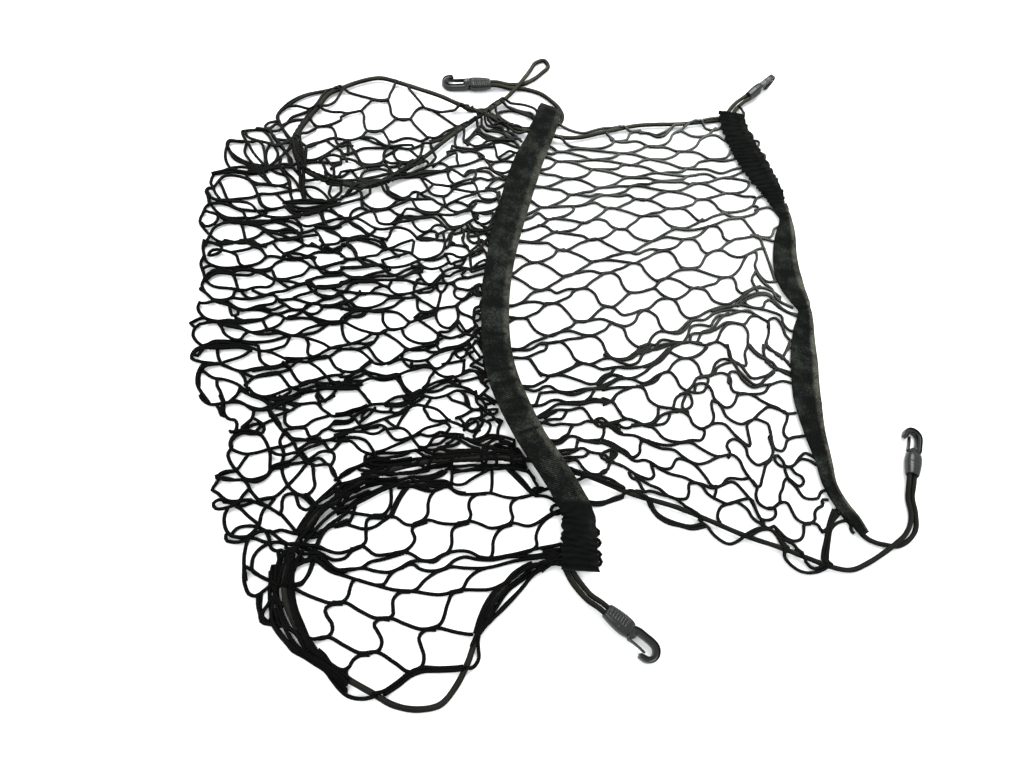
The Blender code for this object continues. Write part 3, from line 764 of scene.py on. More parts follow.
# ---------------------------------------------------------------- net
# Single layer between the bands, its far part.
FAR_FIELD = """
556,126 563,127 570,130 585,133 592,131 608,128 617,129; 612,130 620,130 630,132 640,132 650,134
657,137 663,136 673,128 682,127; 640,133 648,133 656,135 662,133 674,127; 618,141 626,140 631,133
640,131; 545,139 561,142 570,146 581,148 608,146 613,143 614,140 604,135; 540,144 553,148 557,151
575,149 610,152 626,153 641,149 647,146 655,146; 611,140 620,142 640,142 648,146 668,148 676,151
697,145 700,140 718,136 724,140 732,144; 650,147 665,144 670,140 673,134 680,131 692,136 707,135
715,128; 678,132 684,128 690,125; 692,124 700,125 707,129 714,130 722,127; 700,124 708,121 716,120
726,118; 538,152 546,153 552,154 557,152 578,155 585,157 589,159 600,159 616,156 620,153; 536,155
550,158 557,161 570,161 580,161 589,160 620,163 630,165 645,160 652,159 664,159 677,154 680,151;
620,153 632,154 650,159 668,163 683,168 695,166 699,162 704,161 712,160 722,161 738,158; 676,151
698,153 710,159 718,159 725,158 732,149; 530,171 551,167 557,161; 564,161 574,163 592,169 600,169
610,169 618,168 622,165 632,165 648,168 659,173 668,172 683,171 687,168; 530,170 537,171 545,174
554,175 568,179 577,178 589,173 592,169; 592,169 613,173 622,176 632,177 658,173 666,174 685,176
710,175 716,178; 683,168 696,169 706,169 720,173 734,169 744,167; 526,186 533,186 541,187 566,179;
564,178 580,180 588,183 596,187 612,185 626,178 640,178 648,178 655,180 674,180 683,179 688,176
697,175; 530,186 543,187 552,189 561,190 568,194 585,192 592,191 598,188 610,187 620,186 630,186
640,184 648,184 655,182 674,182 683,182 690,184 700,183 708,182 721,178 729,177 744,171; 575,194
591,196 597,194 605,195 620,193 627,190 630,187 640,186 650,188 676,191 694,184; 692,183 704,184
726,193 748,187 749,183 737,179 726,178; 524,197 530,200 541,207 550,207 570,206 577,206 604,195
620,196 629,195 634,198 642,200 661,193 668,191; 570,194 567,198 562,201 548,207; 664,191 675,192
691,196 697,199 712,197 726,193; 576,206 583,205 597,203 602,206 616,208 623,205 630,202 635,199
642,199 657,203 664,207 687,206 693,204 697,200 703,199; 520,219 532,212 540,208; 520,221 532,217
538,213 547,219 556,218 570,213 574,209 572,206; 549,219 543,224 535,227 526,230 516,231; 553,218
575,221 584,223 596,217 602,213 608,208 625,211 643,216 652,213 660,212 668,208; 584,223 598,219
606,221 611,226 625,229 630,225 636,221 642,216 650,216 658,216 669,225 685,228 693,225 699,222
702,219; 700,199 709,200 715,204 719,209 725,212 734,212 755,202 756,198 742,196 732,193; 754,202
757,198 770,195; 675,208 684,209 700,221 714,216 729,212; 722,212 730,216 747,216 758,210 758,207
753,206 747,209; 755,210 771,208 781,218; 538,225 547,227 552,231 567,231 575,229 583,222; 557,231
548,235 532,242 522,241 512,240; 514,241 540,243 548,243 554,247 560,250 583,242 598,239 605,243
613,247 621,251 630,252 644,245 656,239 670,231 677,228; 554,232 577,235 583,236 590,240 598,239
605,237 616,229; 618,229 625,229 635,237 650,241 666,237 684,239 699,235 708,227; 672,228 686,230
713,225 729,219 740,218; 733,217 743,219 748,225 752,230 756,235 763,237 770,237 773,233 774,229
781,226; 708,226 718,227 722,232 724,238 729,241 735,239 743,238 758,235; 506,256 521,256 531,262
547,259 554,255 558,250 565,250; 536,262 525,265 512,274 504,276; 502,273 509,275 525,283 532,288
540,290 553,284 566,276; 538,262 549,267 563,276 584,267 594,261; 563,249 583,257 590,261 604,259
611,256 620,254 628,252 637,254 644,251 651,249 660,250 675,247 684,239; 594,261 607,260 627,262
635,263 641,260 648,257 655,253 670,252 675,257 678,263 683,268 691,268 698,267 707,255 713,251;
684,239 695,240 699,244 702,250 706,253 713,251 720,249 726,244 733,240; 716,250 724,251 730,255
737,257 752,252 758,249 765,248; 751,235 760,239 763,246 775,280; 756,237 765,239 780,243; 748,254
756,252 757,258 755,265 766,281 781,281; 748,254 743,262 740,268 728,277 721,277 697,270 680,267;
692,269 680,270 655,280 645,271 641,265 636,263; 563,276 577,273 593,271 600,273 608,273 615,270
622,268 631,263; 602,273 613,273 619,277 622,284 626,290 648,290 653,288 661,280; 605,273 591,282
585,287 577,289 568,289 562,291 556,293 551,290 544,289; 656,281 667,278 681,282 687,286 694,288
709,285 716,283 720,279 727,277; 646,290 656,289 660,293 672,299 687,293 691,289 698,287; 544,290
534,292 522,302 515,305 502,306; 504,306 512,306 522,303 538,302 546,304 564,299 570,296 574,291
579,289; 546,303 558,304 569,314 574,320 582,322 601,309 606,306; 576,289 588,289 593,292 602,305
610,307 622,300 627,295 632,292; 602,305 614,308 623,315 630,314 645,310 657,317 660,325 665,331
681,331; 641,311 649,308 661,299 674,300 678,305 681,312 686,317 699,316 706,312 722,307 730,307
743,298; 500,317 508,317 524,318 531,315 538,312 543,307 548,304 556,303; 502,325 509,322 514,319
522,318; 518,318 527,319 531,325 536,331 550,336 565,329 572,326 576,322 584,322; 544,337 571,331
585,335 593,335 600,332 606,329 609,325 613,322; 574,321 586,321 602,319 616,324 624,326 636,320
638,315 642,311; 614,324 623,328 628,339 639,347 648,344 652,337 658,332 680,333 691,322; 502,350
510,349 520,349 533,342 547,337; 504,351 516,350 528,350 543,343 551,343 570,339 580,338 588,336
596,337 601,341 607,353 612,358 619,359 627,358 633,354 638,350 641,346; 540,344 547,345 546,349
539,352 522,358 511,357 502,357; 548,343 561,342 571,352 574,358 586,364 608,358 617,359; 584,363
576,366 569,370 560,373; 519,358 529,359 533,364 541,376; 584,363 594,366 601,369 616,367 626,368
640,367; 696,288 705,290 714,301 728,304 736,300 764,288 772,291 780,297; 725,277 733,278 736,283
737,289 741,293 747,291 753,288 760,286; 757,270 752,280 757,290; 755,271 765,284 771,288 777,299
793,308; 736,304 745,297 770,295 778,306 801,318; 738,306 747,299 771,297 776,303 788,312 799,315;
746,296 746,304 752,307 764,306 765,302 769,300 780,308 788,312; 742,297 741,305 747,306; 712,311
732,306 741,305 750,307 769,311 782,317 783,323 791,331 800,326; 662,331 676,332 682,328 688,322
695,320 703,320 715,313 731,310 740,311 749,311 756,315 763,319 768,322 769,329 768,337 766,344
769,349 775,352 788,362; 683,343 688,335 691,327 704,325 710,326 714,320 718,316 727,315 744,311
751,312; 690,341 692,334 700,333 709,332 716,329 728,322 736,323 743,325 747,330 749,346 760,357
767,360; 738,324 744,324 752,316 758,316; 697,343 700,336 702,332 710,330 722,317 728,313; 768,327
770,319 775,318 783,328 785,334 790,340 797,344; 767,343 764,350 766,362; 738,323 728,324 722,330
715,342 708,344 704,350 684,358 668,351; 690,342 706,345 718,342 729,350 731,358; 636,352 650,350
658,349 666,346 683,343 692,342 701,343; 640,347 648,344 655,345 661,340 677,342 688,342; 636,354
650,351 658,346 676,343; 682,343 670,349 665,354 652,364 645,367; 794,346 789,348 782,359;
"""

# Single layer beside the middle band.
MID_FIELD = """
531,360 535,366 539,372 550,376 558,375 578,380 590,384 597,383 601,378 605,375 611,373 615,368;
578,362 574,366 568,369 556,374 549,376 546,380 540,383 534,386 523,386; 520,387 527,389 533,391
540,389 543,387 549,386 558,391 570,392 583,389 597,388 604,385 622,376; 540,393 558,392 571,395
592,389 600,389 620,387; 598,385 614,375 624,378; 594,391 591,396 581,404; 536,405 538,399 540,393;
528,406 542,405 553,400 559,400 565,402 573,402 586,401 592,399 613,401 616,395 620,392; 539,416
547,411 559,404 565,404 583,404 592,402 608,402 613,402 617,408 621,413; 532,417 542,417 549,413
557,410 570,410 582,408 593,421 598,426 610,424 618,422; 545,418 549,415 555,412; 533,423 542,423
548,420 555,419 561,419 567,411; 534,422 545,423 552,425 560,424 580,424 587,421 593,422 597,419
602,418 606,421 615,429 622,433; 604,427 604,433 601,439 594,440 583,440 577,437 571,436 560,443
553,444 545,442; 546,440 559,440 563,437 568,434 570,430 573,425; 578,438 577,444 576,449; 580,440
597,443 610,443 616,448 622,452; 594,422 600,422 606,424 612,425 619,429; 551,452 565,450 578,449
583,448 588,451 595,453 603,454 613,462 622,466; 553,454 570,453 577,450; 589,452 585,456 577,457
564,458 558,461; 560,463 568,461 576,460 583,468 587,473; 611,459 613,449 617,449 613,455 609,465
608,469 603,471 600,474; 563,470 585,476 592,475 600,474 606,472; 568,474 578,477 590,479 602,483
622,490; 597,476 612,480 622,488; 573,482 579,480 584,479; 578,497 584,500 607,501 614,498 622,496;
582,501 590,504 600,505 609,502 622,498;
"""

# Crumpled near right corner.
CORNER = """
604,355 622,360 632,358 640,351 648,347; 604,354 620,362 629,365 638,362 643,354 650,347; 603,369
620,367 632,368 652,363 668,349; 602,378 610,375 617,375 625,378 645,372 652,366 659,362 672,348;
602,388 610,384 620,379 632,379 642,383 660,374 668,371 673,364 680,359 688,358 697,356 707,348;
603,390 612,388 640,386 657,380 661,374; 604,405 612,400 616,395 632,387; 636,386 643,388 650,401
658,406 670,408 687,409 692,405 688,393 680,394; 668,408 659,407 658,415 654,421 632,425; 664,372
670,372 676,378 680,386 704,391 707,385 708,378 703,376; 673,409 677,397 686,393 683,408 688,412;
684,358 691,359 697,364 703,376 712,375; 686,392 693,385 697,378 703,376 710,375 716,363 722,359
730,360 740,372 756,385 768,377 774,373; 695,390 696,385 706,384 712,391 714,398 719,403 724,407
730,407 735,402 738,395 746,394; 708,377 714,374 717,368 724,364 738,363 746,372 750,377 765,376
779,370 785,373 795,378; 700,378 715,374 723,373 729,376 731,380 731,387 733,391 740,393 750,394
766,391 769,386 775,383 783,381 794,384; 728,382 729,376 730,372 738,373 742,379 752,387 764,385
772,384; 728,345 730,357 741,365 745,366 745,353 748,345; 750,345 755,351 760,355 766,360 772,362
777,368 783,370 794,374; 763,345 766,358 770,361; 766,344 772,350 783,357 787,362 794,370; 789,344
786,351 782,357 776,354; 768,363 771,366 776,369; 742,393 752,395 762,401 770,405 778,408 785,413
796,413; 712,401 716,401 720,405 727,417 742,424 749,421 756,419 762,421 768,424 770,430 777,450
782,451 785,448 787,441 791,438 802,436; 634,426 655,422 662,415 672,412 683,412 689,416 693,424
699,428 712,423 714,416 712,408 712,401 719,403; 678,412 671,412 669,418 665,423 656,425 644,426;
742,424 749,422 762,411 768,407 780,410 787,413 787,420 784,428 784,434 787,438 796,437 806,436;
706,427 717,423 724,424 735,435 750,446 748,432 747,425 752,420; 698,428 704,430 701,440 692,440
680,442 662,437 656,430 650,426 640,425; 729,458 730,452 727,447 729,441 734,439 746,448 748,456
758,465 764,463 770,459 773,453 769,437; 680,443 692,443 700,448 716,456 735,456 740,461 743,468
752,481 757,487 760,486 762,479 764,472 766,465 771,460; 602,425 618,421 630,419 640,424 650,427;
602,427 618,424 622,427 628,428 634,425 642,424; 603,398 612,402 625,418 633,420 642,424; 602,424
610,427 618,433 636,436 643,439 672,445 680,443 692,441; 650,441 643,440 640,446 640,452 631,457
627,452 620,448 612,443 603,440; 640,439 660,448 676,451 682,456 698,464 708,462 716,458 726,455;
603,443 611,446 626,455 635,461 645,460 652,463 658,467 671,468 677,459 690,462 707,479 711,485
716,487 722,485 727,479 744,479 749,478; 602,458 610,462 618,464 642,477 650,479 654,476 653,470
651,465 656,466; 604,452 613,450 617,453 612,459 606,462; 658,468 668,473 686,478 694,482 702,484
712,488 720,486; 636,476 650,485 658,488 670,497 680,499 687,498 689,492 689,484 697,483; 697,483
702,486 707,493 720,501 728,504 737,501 745,499 751,499 754,505 757,512 760,518 772,519 776,514
774,508 768,508; 720,486 733,482 745,493 750,499 759,516 764,524; 716,485 716,492; 636,491 643,492
650,491 660,494 676,499 690,512 698,518; 629,473 632,478 637,480 642,488; 718,524 718,513 721,507
728,504 736,502 742,505 748,510 752,517 766,527; 752,480 757,487 756,495 758,502 770,509 780,503
785,502 798,520 804,523 812,523 818,525 821,530 830,532; 776,506 780,502 780,495 783,488 785,480
788,478 791,482 795,486 805,498 812,499 818,498 821,492 828,490; 790,482 785,470 784,463 776,455
775,460 779,465 792,466 802,459 808,460 818,466; 786,466 791,468 795,473 802,477 804,482 800,486
788,478; 795,464 802,455 805,453 810,455 818,460; 828,500 822,500 823,505 818,508 815,512 815,520
811,523 803,523; 810,524 804,525 804,531 802,538 795,541 788,539 777,529; 742,537 760,528 770,528
775,526 777,531 782,540 786,552; 744,539 753,534 761,530 771,530 780,541 784,553; 780,538 794,545
800,554;
"""

# Loops that hang on the near edge cord.
EDGE_LOOPS = """
824,563 826,552 828,540 829,531 831,522 834,514 839,507 843,502; 830,527 832,520 836,513 840,508;
827,562 828,550 829.5,539 831,530 835,524.5 841,521.5 848,521.5 850.5,525 851.5,531 854,533.5;
822,532 826,529.5 829,526; 832,523 837,516.5 841,513.5 845,518; 737,109 741,110 744,113 743.5,118
742.5,124 741.5,130 737,133; 739,133 741,130 745,129.5 748,131 748,135 744,139; 744,139 748,135
751,133.5 752.5,136 751.5,141 747,144; 750,146 752.5,142 756,140.5 759,142 758.5,145.5 757,149
752,151; 755,154 761,153 765,155.5 764.5,159 759,161; 761,161 766,161 768.5,164 768,168 763,169;
640,497 646,500 658,514 680,524 690,526 702,524; 643,499 650,507 657,516 668,523 680,526 692,529
704,527; 698,521 708,528 714,535 730,544 738,541 745,535 752,531; 780,545 785,558 800,571 820,571
828,566; 795,550 802,560 815,569 822,566; 833,510 829,522 826,538 823,552 822,566; 836,514 832,524
829,540 826,553 824,567; 565,496 575,500 590,502 604,503 618,498 632,492 641,498;
"""

# Folded part, far third.
FAR_LEFT = """
340,88 318,92 308,94 284,107 277,117 281,126 294,147; 338,91 326,91 288,106 278,116 280,123 293,142;
340,90 326,93 317,105 311,112 302,127 293,141 294,150 299,172 305,198; 289,106 297,106 311,109
318,108 333,103 341,93; 311,110 304,113 291,118 287,123 283,126; 318,108 333,112 341,112; 283,125
289,122 303,120 309,122 316,126 332,124 341,120; 310,122 317,127 311,131 300,138 302,147 304,156
303,184 304,198; 322,126 331,127 336,136 336,141 340,145 341,145; 278,121 267,124 265,127 268,130
272,127 277,124 281,126 281,129 276,131 271,131 268,128; 243,131 258,130 270,132 274,138 286,153;
257,128 264,129 270,130; 242,132 244,137 247,142; 245,131 248,137 256,140 268,143 274,145 282,144
289,141 296,140; 262,130 267,134 274,146 278,154 276,160 270,166; 268,129 277,140 288,156 290,164
297,172; 276,139 283,140 293,141; 267,143 277,146 285,143 293,142; 243,142 228,141 227,146 232,153
252,164 264,166; 229,142 226,149 227,163 230,168; 228,147 236,160 243,163 250,166 262,167; 230,141
240,141 250,142 258,141 262,144 264,150 266,167; 247,142 245,153 248,158 257,168; 248,143 253,152
264,165; 270,144 267,150 266,158 268,166; 230,168 240,167 250,168 262,169 278,159 290,148 295,142
301,152; 252,165 270,167 280,167; 212,173 222,171 230,169 240,171 262,172 270,169 292,167; 214,174
236,172 248,174 268,171; 250,170 262,171 275,166 284,164 296,166 304,164; 214,173 211,184 213,188
208,188 206,191 208,196 209,202; 213,188 225,176 247,179 259,197 262,204 267,208 286,207; 219,181
239,209 246,210 256,211 277,209; 213,188 216,194 221,200; 208,192 212,198 226,200 236,199 256,196
260,194 270,194 290,191 298,190 304,192; 216,200 228,201 252,205 257,211 262,215 272,217 296,216
308,213 318,212 322,217 324,223 328,227; 209,200 212,206 226,217 243,218 252,218 266,213; 209,204
219,203 237,209 243,212 246,218 250,222; 210,203 205,208 203,213 200,220 207,232 221,242 241,241
258,236 264,231; 206,211 218,216 217,221 205,226 202,223; 218,215 224,219 252,222 262,223 284,220;
221,217 230,220 240,221 250,223 258,225 264,223 275,219 288,218 300,217; 224,221 236,223 248,222
270,221 290,227 298,232; 210,235 214,228 230,222 240,223 262,229 266,232 274,233 290,238; 241,223
243,229 246,242; 261,227 267,230 276,231 288,229 298,231; 282,233 290,232 298,233 313,230 320,227
328,229 341,227; 257,172 266,180 270,184 284,185 290,182; 247,177 252,181 276,186; 254,185 262,184
272,185 284,187 290,189; 270,169 277,173 284,175 289,180 290,190 291,196; 263,172 268,180 272,185;
281,159 280,165 284,170 296,182 300,190; 279,166 289,182 291,190; 287,155 291,160 292,167 297,173
303,180; 297,148 299,158 304,178 303,190; 295,150 300,175 301,190 304,200; 306,147 306,155 305,165
306,173; 283,166 292,166 300,168 306,168; 284,153 290,150 297,152 304,158; 305,147 312,144 320,142
334,138 341,139; 303,144 308,147 316,144; 326,140 331,144 341,151; 301,160 312,160 333,150 339,146
341,146; 306,163 316,162 335,163 341,162; 320,160 326,156 334,155 341,157; 321,160 332,176 341,177;
325,157 334,170 334,176; 341,164 336,165 331,169; 302,171 318,178 326,182 341,185; 301,180 322,184
330,187 341,189; 326,184 331,180 334,176; 321,180 326,177 325,172; 304,187 312,187 327,197 330,202;
304,188 308,195 313,199 322,200; 331,187 329,193 336,202; 331,200 336,196 341,192; 259,194 259,200
262,206 268,209; 276,194 288,205 300,214; 285,202 306,200 320,202 341,199; 290,205 300,208 322,206
334,205 341,203; 284,206 292,210 302,211 338,205; 283,203 330,203 341,203; 286,208 292,213 302,215
326,209; 320,210 330,211 338,215 341,216; 293,217 305,226 319,224 328,222 338,219 341,219; 280,221
288,221 302,230 300,236; 281,222 294,230 302,239; 315,226 320,228 324,224 322,218; 313,229 318,234
325,247; 322,228 330,232 338,235 341,237; 210,236 207,240 206,245; 204,241 222,244 232,243; 290,238
308,236 315,235; 252,240 258,244 266,247; 264,231 280,240 300,238; 341,91 350,93 365,97 381,100
388,99 390,94 396,84; 361,111 369,103 373,100 381,101 388,100; 388,100 390,106 393,116 403,120
410,119 414,124 427,137; 341,112 345,113 355,112 361,111 364,116 364,122 368,131 375,132 382,131
386,136 389,142 389,148; 410,119 420,108 424,107; 408,88 421,103 425,108 432,110 440,112 450,111
466,109; 425,108 432,110 438,114 450,122 456,126 464,127; 396,119 386,127 382,130 375,131 368,131
361,137 345,140 341,139; 396,119 403,119 410,119; 341,117 347,114 354,112; 360,138 368,140 375,143
382,145 390,148 400,148 408,149 424,144; 364,137 372,138 387,146 404,145 412,145; 393,142 408,138
414,139 420,141 428,138; 427,137 434,138 447,131 465,125; 430,141 437,140 450,133 458,130 466,128
474,123; 422,143 430,143 438,141 445,140; 426,163 396,179 374,189 362,192 341,197; 420,161 410,169
400,173 388,178 376,183 364,183 350,184 341,183; 436,158 428,166 418,171 408,176 398,178 388,185
378,188 366,188 354,191 341,198; 349,140 351,146 358,158 362,163 376,164 382,162 385,151 388,147;
347,140 348,147 348,155; 341,147 348,145 353,146; 341,154 348,154 355,152 361,149 378,148 390,148;
341,153 345,158 347,162; 354,150 358,157 361,164 368,168; 341,159 349,159 355,161 361,165 370,167
380,166; 388,147 384,153 391,171 396,176; 341,144 347,141; 395,149 394,155 397,160 411,162 418,160
421,153 423,145; 409,149 419,158 424,162; 386,156 391,153 397,149; 384,160 390,163 398,163 406,163
413,160; 431,142 431,149 433,156; 402,163 399,168 402,171; 390,167 397,166 402,163 408,165 416,163;
341,172 345,171 355,170 365,167 384,165; 351,170 360,179 368,178 391,173; 360,179 363,173 370,170
380,169 388,171; 350,170 345,175 341,177; 341,181 355,180 365,181 378,180; 341,187 347,184 352,188
348,194; 345,196 349,191 361,193 362,198; 384,186 390,192 396,195 402,198 409,196 413,192 418,192
422,195 430,198; 388,188 388,193 401,199 410,199; 384,191 389,195 396,199; 420,177 427,180 433,184
441,185 450,186 457,183 471,179; 421,178 425,184 432,194 444,196 457,184; 434,184 424,192 418,194;
361,199 365,204 371,208 387,208 399,200 406,198 413,199 424,199 432,199 438,203 445,206; 341,204
356,200 363,198 370,194; 362,200 362,206 366,210 382,210 389,209 395,213 402,216 410,219 418,218;
388,208 397,205 410,199; 350,218 351,213 362,208 367,210; 373,211 376,217 378,222 390,224 398,217
403,213 406,209 412,209 427,214 435,214 452,215 465,211 472,210; 351,219 364,213 370,211; 412,200
418,209 439,211 444,206 450,210 457,212 465,210 471,208 476,204; 402,216 400,220 396,223 394,228;
341,216 346,219 354,218 378,229 402,228 408,230 417,238; 341,223 347,221 352,219; 346,220 361,228
367,233 380,238 386,239 392,229; 376,229 372,233 368,236; 341,238 347,240 354,240 361,237 368,236;
380,238 384,243 387,248; 393,224 400,222 407,221 414,219 424,218 432,217 438,220 448,229 462,226
468,222 474,219; 396,220 408,216 418,217 428,215 436,213 441,217 452,227 460,226; 412,219 414,225
424,232 430,230 434,226 440,225 446,227; 417,238 424,234 431,231 437,233 437,238 430,240 420,240;
436,235 443,232 449,229; 417,239 428,238 438,240 447,240 450,234 455,230; 446,206 444,200 443,196;
447,205 453,202 466,205 472,209; 450,203 464,197 471,195 477,192 476,186 472,181; 449,168 448,174
450,180 454,184; 451,169 457,172 464,176 470,173 483,168 490,168; 433,167 438,163 448,167 445,170
436,171 424,171; 426,166 436,164 443,159 450,155 456,153 457,160 459,166; 449,167 464,165 478,160
484,157 470,151 462,152; 462,127 464,134 464,141 468,145; 456,137 455,143 458,149 462,152; 452,146
470,149 493,143; 464,142 470,137 475,131 480,127; 468,142 472,137 478,134 484,138 489,140; 447,152
456,150 466,151 476,150 486,147 494,147; 468,143 474,146 482,145 487,141 494,140 512,140; 476,131
492,137 500,139 508,137 516,138; 482,119 486,125 503,131 506,136 514,140; 490,117 506,126 514,128
524,128; 493,115 500,118 516,127 525,130; 484,122 492,127 502,128 512,131 522,130; 492,121 508,130
518,134 526,134; 484,128 486,131 494,130 503,132; 506,132 512,134 522,142; 500,106 508,107 516,110
524,112 532,114 534,118 530,128; 508,103 528,106 535,109 538,114; 500,112 510,111 530,116 535,121;
494,145 496,151 498,158 502,160; 493,143 500,142 516,147 524,149; 498,158 504,154 510,151 516,153
522,150; 500,161 507,158 514,154; 483,157 488,163 493,170 507,179; 479,156 486,160 494,162 504,161
513,162; 494,163 490,168 504,173 511,170; 506,141 512,141 518,145; 489,168 496,173 510,178; 464,176
468,171 481,171 488,172 494,177; 472,180 476,175 475,171; 472,181 480,178 488,180 496,178 504,180;
486,189 494,181 499,178; 452,188 460,185 474,182; 455,189 472,192 496,192 500,196; 486,188 494,189
506,183; 478,192 480,197 494,199 500,196; 470,204 474,201 490,202 497,199; 471,205 471,211 486,212
499,206 497,193; 472,212 478,223 484,224 490,221 497,211; 475,217 478,213 484,214 492,213; 473,213
478,219; 500,192 498,199 500,206 498,214 496,222; 470,224 474,228 480,230 492,224 496,218; 462,229
464,235 463,241 466,246; 462,230 476,234 479,240 474,243 469,240 468,234 472,230; 466,224 470,229
490,229 495,226; 474,236 486,234 488,238 484,242 478,241; 452,236 450,242 448,247; 494,214 491,222
492,230 489,238 490,246; 486,232 492,236 490,242; 455,234 462,232 468,228; 478,222 484,227 492,228;
482,240 488,246; 461,226 474,219 478,215;
"""

